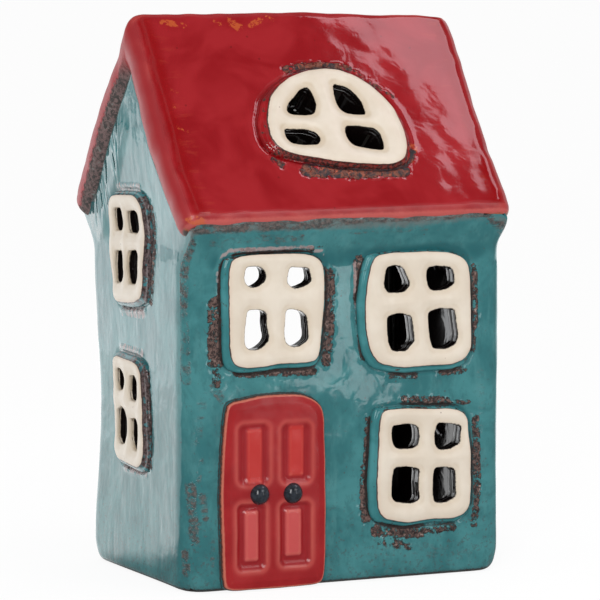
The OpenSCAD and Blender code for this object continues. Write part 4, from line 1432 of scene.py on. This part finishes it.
# "backdrop" is how bright the pale sweep behind the house looks in its gloss, "room" the rest
studio = {"world": 0.6, "backdrop": 1.15, "sweep": 1.85, "room": 0.25, "floorGlow": 0.85, "floorSeen": 1.06,
          "floorSize": 9, "paper": (0.8, 0.82)}
lamps = {
    "fill": {"place": (-600, -980, 560), "aim": (0, 0, 90), "size": (300, 800), "power": 5.5},
    "gable": {"place": (-213, 362, 112), "aim": (-52, 0, 84), "size": (200, 230), "power": 0.07,
              "colour": (0.86, 0.93, 1.0)},
    "overRoof": {"place": (213, -84, 416), "aim": (60, -5, 137), "upright": (-0.38, 0.59, 0.71), "size": (90, 150),
                 "power": 0.155, "colour": (1, 0.84, 0.92)},
    "eaveLine": {"place": (183, -398, 315), "aim": (0, -42, 108), "size": (260, 110), "power": 0.15},
    "stripFront": {"place": (183, -445, 100), "aim": (0, -36, 100), "size": (45, 200), "power": 0.085},
    "knobStreak": {"place": (178, -430, 350), "aim": (-24, -40, 28), "size": (26, 280), "power": 0.1},
}


def addLamp(name, lamp):
    clearSelection()
    bpy.ops.object.light_add(type="AREA", location=Vector(lamp["place"]) * mm)
    light = bpy.context.object
    light.name = name + "Lamp"
    back = (Vector(lamp["place"]) - Vector(lamp["aim"])).normalized()
    side = Vector(lamp.get("upright", (0, 0, 1))).cross(back).normalized()
    light.rotation_euler = Matrix((side, back.cross(side), back)).transposed().to_euler()
    light.visible_camera = False
    light.data.shape = "RECTANGLE"
    light.data.size, light.data.size_y = lamp["size"][0] * mm, lamp["size"][1] * mm
    light.data.energy = lamp["power"]
    light.data.color = lamp.get("colour", (1, 1, 1))


def studioBoard(tree, coordinate):
    tree.nodes.clear()
    board = Board(tree)
    rays = board.add("LightPath").outputs
    where = board.add("TexCoord").outputs[coordinate]
    return board, rays, where, board.axes(where)


def looked(board, rays):
    return board.most(rays["Is Camera Ray"], rays["Is Transmission Ray"])


def sortByRay(board, rays, share, lights, output):
    # lights are what lights the house, what the camera sees, and what the gloss mirrors
    plain, seen, mirrored = (light.outputs[0] for light in lights)
    first = board.add("MixShader", {0: share, 1: plain, 2: seen})
    second = board.add("MixShader", {0: rays["Is Glossy Ray"], 1: first.outputs[0], 2: mirrored})
    board.add(output, {"Surface": second.outputs[0]})


def buildFloor():
    clearSelection()
    bpy.ops.mesh.primitive_plane_add(size=studio["floorSize"])
    floor = bpy.context.object
    floor.name = "studioFloor"
    material = bpy.data.materials.new("studioWhite")
    material.use_nodes = True
    board, rays, where, place = studioBoard(material.node_tree, "Object")
    behind = board.times(board.step(place["Y"], 0.0, 0.06), board.step(board.math("ABSOLUTE", place["X"]), 2.2, 1.4))
    paper = board.mix(board.noise(where, 40, 3, 0.55), *((level, level, level, 1) for level in studio["paper"]))
    sweep = board.step(behind, 0, 1, studio["sweep"], studio["room"])
    lights = [board.add("BsdfDiffuse", {"Color": paper})]
    for strength in (studio["floorSeen"], sweep):
        lights.append(board.add("Emission", {"Color": (1, 1, 1, 1), "Strength": strength}))
    sortByRay(board, rays, board.times(looked(board, rays), studio["floorGlow"]), lights, "OutputMaterial")
    floor.data.materials.append(material)


def buildWorld():
    world = bpy.data.worlds.new("studio")
    scene.world = world
    world.use_nodes = True
    board, rays, direction, toward = studioBoard(world.node_tree, "Generated")
    furniture = board.step(board.noise(direction, 3.2, 2, 0.5), 0.4, 0.64, 2 * studio["room"], 0.4 * studio["room"])
    behind = board.times(board.step(toward["Y"], 0.1, 0.5), board.step(toward["Z"], 0.6, 0.4))
    backdrop = board.step(behind, 0, 1, studio["backdrop"], furniture)
    lights = [board.add("Background", {"Color": (1, 1, 1, 1), "Strength": strength})
              for strength in (studio["world"], 1.0, backdrop)]
    sortByRay(board, rays, looked(board, rays), lights, "OutputWorld")


print("studio: camera, floor and lamps")
placeCamera()
buildFloor()
buildWorld()
for name, lamp in lamps.items():
    addLamp(name, lamp)
scene.view_settings.view_transform = "Standard"

print("done")
